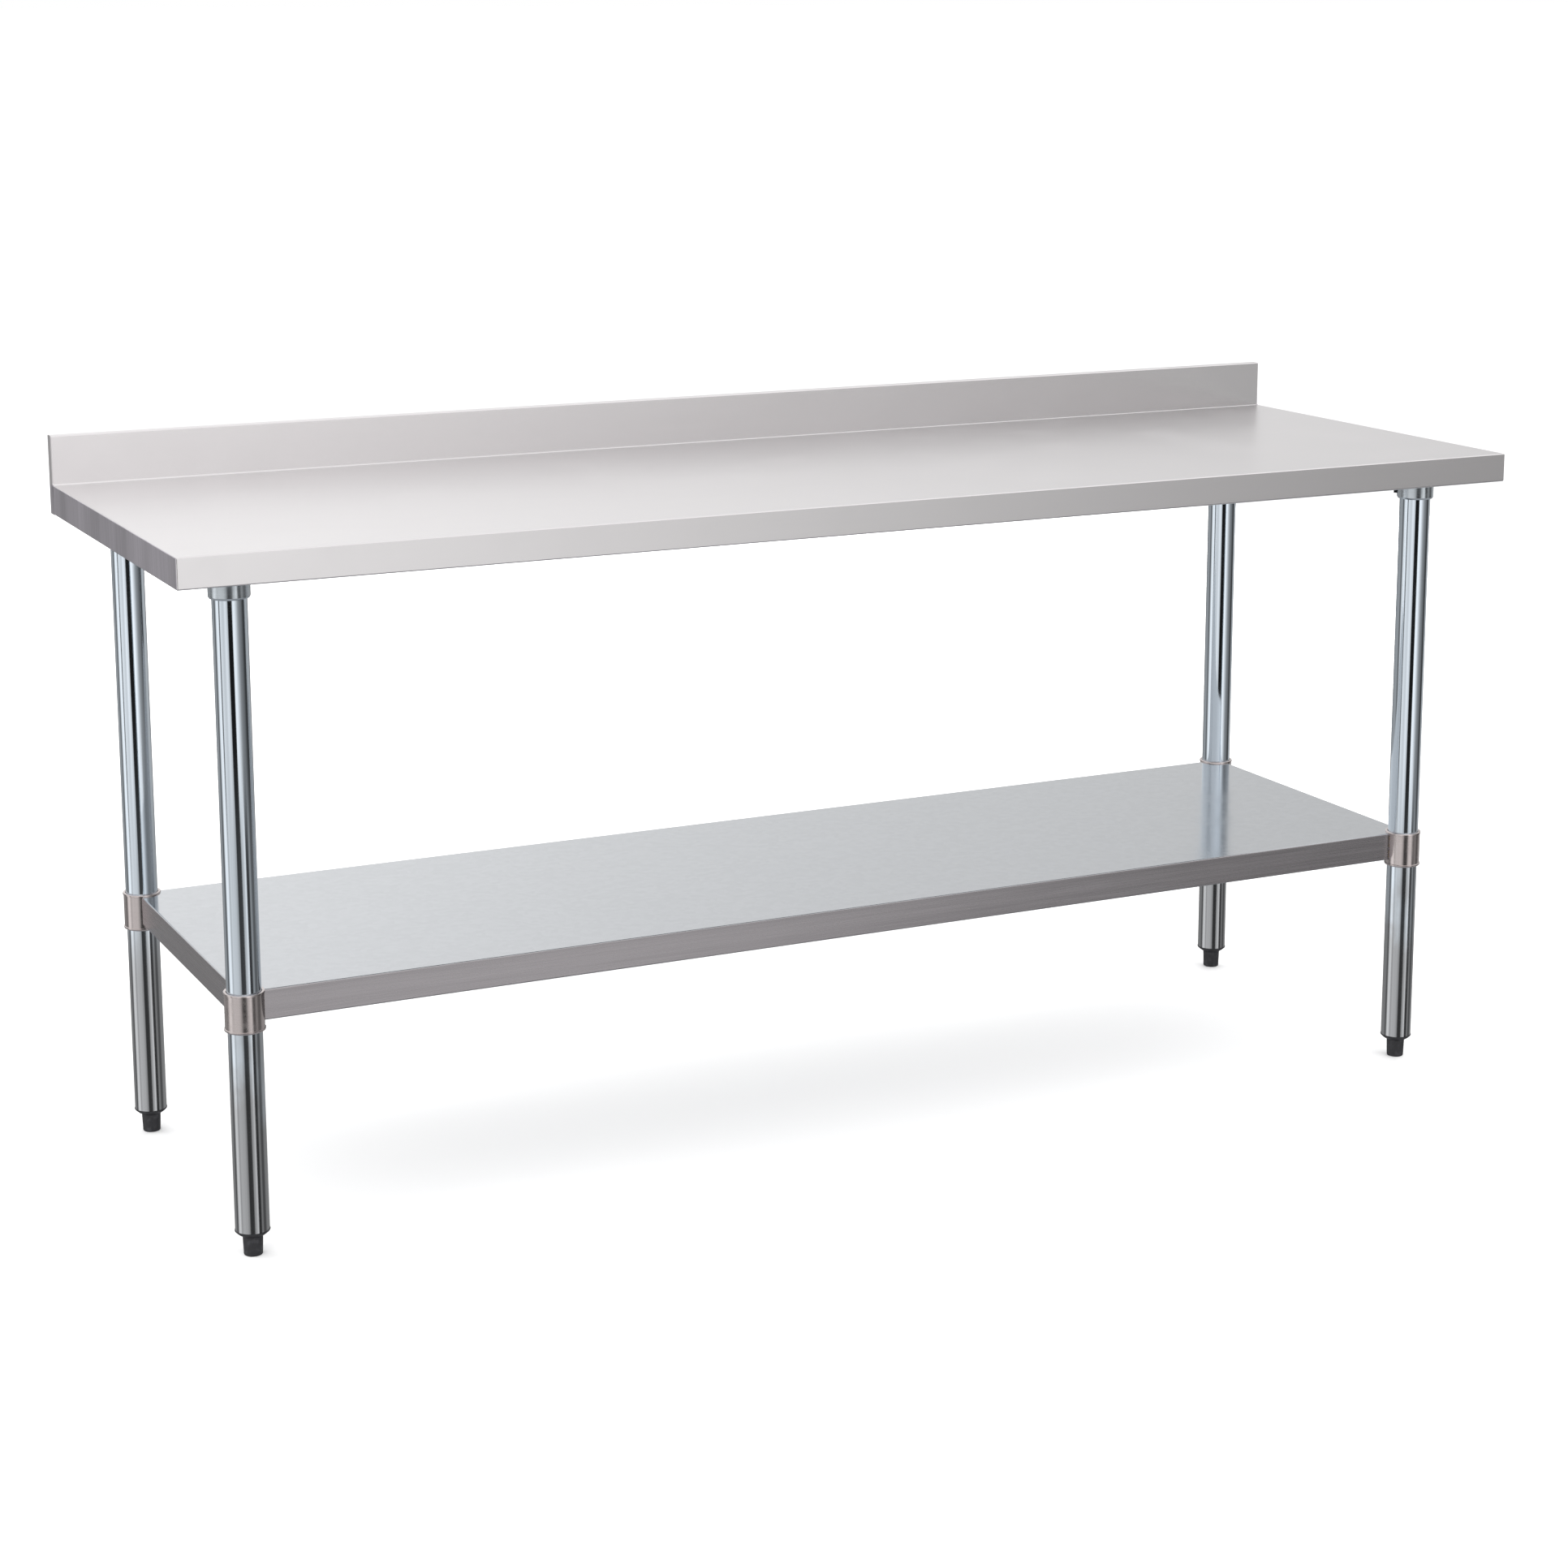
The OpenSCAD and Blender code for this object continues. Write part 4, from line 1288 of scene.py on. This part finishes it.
class WORK_TABLE_OT_welds(bpy.types.Operator):
    """Lays the weld beads of the sockets and collars and the spot welds of the shelf's channel"""

    bl_idname = "work_table.welds"
    bl_label = "Welds"

    def execute(self, context):
        s = sizes()
        size = s.weld_bead
        low, high, _ = span("leg_socket_front_left")
        half = (high.x - low.x) / 2
        run = half - 4 * MM
        parts = []
        for side in (-1, 1):
            parts.append(bead("bead", (-run, side * (half + 0.2 * size), high.z), (run, side * (half + 0.2 * size), high.z), size))
        pair = joined(parts, "pair")
        beads = [copied(pair, "bead", leg_axis(corner)) for corner in CORNERS]
        dropped(pair)
        hand_over(joined(beads, "socket_welds"), "frame", [], "weld")

        shelf_low, shelf_high, _ = span("undershelf")
        ring_low, ring_high, _ = span("shelf_collar_front_left")
        reach = (ring_high.x - ring_low.x) / 2
        foot, head = shelf_low.z + 3 * MM, SHELF_Z - 4 * MM
        upright = bead("bead", (0, 0, foot), (0, 0, head), size)
        parts = []
        for corner in CORNERS:
            axis, heading = leg_axis(corner), inward(corner)
            east, north = math.copysign(1, heading.x), math.copysign(1, heading.y)
            side_y = (shelf_low.y if north > 0 else shelf_high.y) + north * 1.6 * MM
            end_x = (shelf_low.x if east > 0 else shelf_high.x) + east * 1.6 * MM
            along_x = math.sqrt(reach**2 - (side_y - axis.y) ** 2)
            along_y = math.sqrt(reach**2 - (end_x - axis.x) ** 2)
            parts.append(copied(upright, "bead", (axis.x + east * along_x, side_y, 0)))
            parts.append(copied(upright, "bead", (end_x, axis.y + north * along_y, 0)))
        dropped(upright)
        hand_over(joined(parts, "collar_welds"), "shelf", [], "weld")

        low, high, middle = span("shelf_channel")
        under = high.z - s.channel_sheet
        spot = turned(
            "spot",
            [(0, under - 0.06 * MM), (1.8 * MM, under - 0.05 * MM), (2.4 * MM, under - 0.3 * MM),
             (3.0 * MM, under - 0.25 * MM), (3.4 * MM, under + 0.1 * MM)],
            steps=24, closed=False,
        )
        count = 9
        inset = 45 * MM
        parts = []
        for side in (-1, 1):
            y = middle.y + side * ((high.y - low.y) / 2 - s.channel_foot / 2)
            for i in range(count):
                parts.append(copied(spot, "spot", (low.x + inset + (high.x - low.x - 2 * inset) * i / (count - 1), y, 0)))
        dropped(spot)
        hand_over(joined(parts, "spot_welds"), "shelf", [], "weld")
        return {"FINISHED"}


# ---------------------------------------------------------------- camera, floor and light


ABOVE_HORIZON = (
    (0, 0.98), (12, 1.04), (17, 1.00), (22, 0.90), (28, 0.80), (38, 0.68), (60, 0.58), (90, 0.46), (120, 0.30),
    (136, 0.25), (146, 0.34), (156, 0.62), (166, 1.08), (180, 1.10), (215, 0.80), (270, 0.72), (320, 0.78), (345, 0.92),
)
BELOW_HORIZON = (
    (0, 0.31), (20, 0.12), (62, 0.46), (78, 0.50), (88, 0.36), (93, 0.05), (106, 0.05), (118, 0.16), (134, 0.26),
    (143, 0.36), (151, 0.56), (160, 0.83), (168, 1.07), (179, 1.12), (183, 0.01), (208, 0.01), (212, 0.66),
    (226, 0.96), (240, 0.68), (262, 0.88), (266, 0.10), (270, 0.10), (274, 0.98), (290, 1.02), (300, 0.40),
    (308, 0.08), (322, 0.36), (346, 0.31),
)
NEAR_FLOOR = (
    (0, 0.30), (66, 0.34), (84, 0.34), (96, 0.12), (112, 0.14), (120, 0.34), (128, 0.28), (134, 0.04), (149, 0.04),
    (152, 0.84), (159, 0.96), (164, 0.62), (174, 0.54), (181, 0.06), (206, 0.05), (211, 0.40), (228, 0.64),
    (256, 0.72), (266, 0.50), (276, 1.00), (290, 1.02), (302, 0.14), (312, 0.14), (320, 0.32), (345, 0.30),
)


class WORK_TABLE_OT_stage(bpy.types.Operator):
    """Sets up the camera, the pale floor and the soft studio light"""

    bl_idname = "work_table.stage"
    bl_label = "Camera, Floor and Light"

    def execute(self, context):
        stage = context.scene.work_table_stage
        self.camera(context, stage)
        self.floor(stage)
        self.studio(context, stage)
        for i in range(4):
            self.fill_panel(context, math.radians(45 + 90 * i), stage.fill_light)
        bpy.ops.object.select_all(action="DESELECT")
        bpy.ops.object.light_add(type="SUN", location=(0, 0, 5))
        ceiling = context.object
        ceiling.name = "soft_ceiling"
        ceiling.data.angle = math.radians(150)
        ceiling.data.energy = stage.ceiling_light
        ceiling.visible_glossy = False
        context.scene.view_settings.view_transform = "Standard"
        return {"FINISHED"}

    def fill_panel(self, context, heading, power):
        """A broad panel at the edge of the room, which lights the floor under the table."""
        towards = Vector((math.sin(heading), math.cos(heading), 0))
        bpy.ops.object.select_all(action="DESELECT")
        bpy.ops.object.light_add(type="AREA", location=towards * 5 + Vector((0, 0, 1.3)))
        light = context.object
        light.name = "fill_panel"
        light.rotation_mode = "QUATERNION"
        light.rotation_quaternion = (towards * 5 + Vector((0, 0, 1.1))).to_track_quat("Z", "Y")
        light.data.shape = "RECTANGLE"
        light.data.size = 6.0
        light.data.size_y = 2.4
        light.data.energy = power
        light.visible_glossy = False
        light.visible_camera = False

    def camera(self, context, stage):
        bpy.ops.object.select_all(action="DESELECT")
        bpy.ops.object.camera_add()
        camera = context.object
        camera.name = "studio_camera"
        camera.data.lens = stage.camera_lens
        camera.data.sensor_width = 36.0
        camera.data.shift_y = stage.camera_rise
        camera.data.clip_end = 4000.0
        camera.matrix_world = (
            Matrix.Translation(stage.camera_place)
            @ Matrix.Rotation(-stage.camera_heading, 4, "Z")
            @ Matrix.Rotation(math.pi / 2 - stage.camera_dip, 4, "X")
            @ Matrix.Rotation(stage.camera_roll, 4, "Z")
        )
        context.scene.camera = camera

    def floor(self, stage):
        floor = begin(bpy.ops.mesh.primitive_plane_add, size=1)
        stretch((0, 0, 0), stage.floor_side, stage.floor_side, 1)
        bpy.ops.mesh.inset(thickness=0.48 * stage.floor_side)
        settle(floor, "studio_floor")
        material, n, shader, place = new_material("pale_studio_floor", 0.0, 0.85, stage.floor_colour)
        shader.inputs["Specular IOR Level"].default_value = 0.0
        soft = n.ramp(n.noise(place.outputs["Object"], 0.8, 2.0), 0.0, 1.0, 0.995, 1.005)
        n.feed(shader.inputs["Base Color"], n.tint(tuple(stage.floor_colour), soft))
        floor.data.materials.append(material)
        floor.visible_glossy = False

    def studio(self, context, stage):
        """Soft light from all round: bright overhead, with darker gaps between tall panels at eye height."""
        world = bpy.data.worlds.new("soft_studio")
        world.use_nodes = True
        world.node_tree.nodes.clear()
        context.scene.world = world
        n = Nodes(world.node_tree)
        split = n.add("ShaderNodeSeparateXYZ")
        n.feed(split.inputs[0], n.add("ShaderNodeTexCoord").outputs["Generated"])
        turn = n.math("ARCTAN2", split.outputs["X"], split.outputs["Y"])
        heading = n.math("FRACT", n.math("DIVIDE", turn, FULL_TURN))
        rise = split.outputs["Z"]
        above = self.panels(n, heading, ABOVE_HORIZON)
        below = self.panels(n, heading, BELOW_HORIZON)
        lowest = self.panels(n, heading, NEAR_FLOOR)
        low = n.blend(n.ramp(rise, -0.6, -0.4), (0.34, 0.345, 0.36), lowest)
        low = n.blend(n.ramp(rise, -0.26, -0.23), low, below)
        middle = n.blend(n.ramp(rise, -0.03, 0.06), low, above)
        room = n.blend(n.ramp(rise, 0.36, 0.62), middle, (1.0, 1.0, 1.0))
        seen = n.add("ShaderNodeLightPath").outputs["Is Camera Ray"]
        shown = n.blend(seen, n.tint(room, stage.room_light), tuple(stage.backdrop))
        background = n.add("ShaderNodeBackground")
        n.feed(background.inputs["Color"], shown)
        out = n.add("ShaderNodeOutputWorld")
        world.node_tree.links.new(background.outputs[0], out.inputs[0])

    def panels(self, n, heading, stops):
        """The light round the room at one height, as a brightness for each heading in degrees."""
        ramp = n.add("ShaderNodeValToRGB")
        n.feed(ramp.inputs[0], heading)
        elements = ramp.color_ramp.elements
        ramp.color_ramp.interpolation = "LINEAR"
        while len(elements) > 1:
            elements.remove(elements[-1])
        elements[0].position = 0.0
        elements[0].color = (*[stops[0][1]] * 3, 1.0)
        for degrees, light in stops[1:] + ((360, stops[0][1]),):
            elements.new(degrees / 360).color = (light, light, light, 1.0)
        return ramp.outputs[0]


# ---------------------------------------------------------------- panel, registering and running


STEPS = (
    WORK_TABLE_OT_stage, WORK_TABLE_OT_work_top, WORK_TABLE_OT_channels, WORK_TABLE_OT_weld_studs, WORK_TABLE_OT_sockets,
    WORK_TABLE_OT_legs, WORK_TABLE_OT_undershelf, WORK_TABLE_OT_collars, WORK_TABLE_OT_set_screws, WORK_TABLE_OT_feet,
    WORK_TABLE_OT_welds,
)


class WORK_TABLE_PT_panel(bpy.types.Panel):
    """Lists the pieces of the work table"""

    bl_idname = "WORK_TABLE_PT_panel"
    bl_label = "Work Table"
    bl_space_type = "VIEW_3D"
    bl_region_type = "UI"
    bl_category = "Work Table"

    def draw(self, context):
        column = self.layout.column()
        for step in STEPS:
            column.operator(step.bl_idname)
        for group_of_settings in ("work_table_sizes", "work_table_finishes", "work_table_stage"):
            settings = getattr(context.scene, group_of_settings)
            box = self.layout.box()
            for name in settings.bl_rna.properties.keys():
                if name not in ("rna_type", "name"):
                    box.prop(settings, name)


CLASSES = (TableSizes, TableFinishes, TableStage) + STEPS + (WORK_TABLE_PT_panel,)


def register():
    for one in CLASSES:
        bpy.utils.register_class(one)
    bpy.types.Scene.work_table_sizes = bpy.props.PointerProperty(type=TableSizes)
    bpy.types.Scene.work_table_finishes = bpy.props.PointerProperty(type=TableFinishes)
    bpy.types.Scene.work_table_stage = bpy.props.PointerProperty(type=TableStage)


def unregister():
    del bpy.types.Scene.work_table_stage
    del bpy.types.Scene.work_table_finishes
    del bpy.types.Scene.work_table_sizes
    for one in reversed(CLASSES):
        bpy.utils.unregister_class(one)


def main():
    register()
    for step in STEPS:
        name = step.bl_idname.split(".")[1]
        getattr(bpy.ops.work_table, name)()


if __name__ == "__main__":
    main()
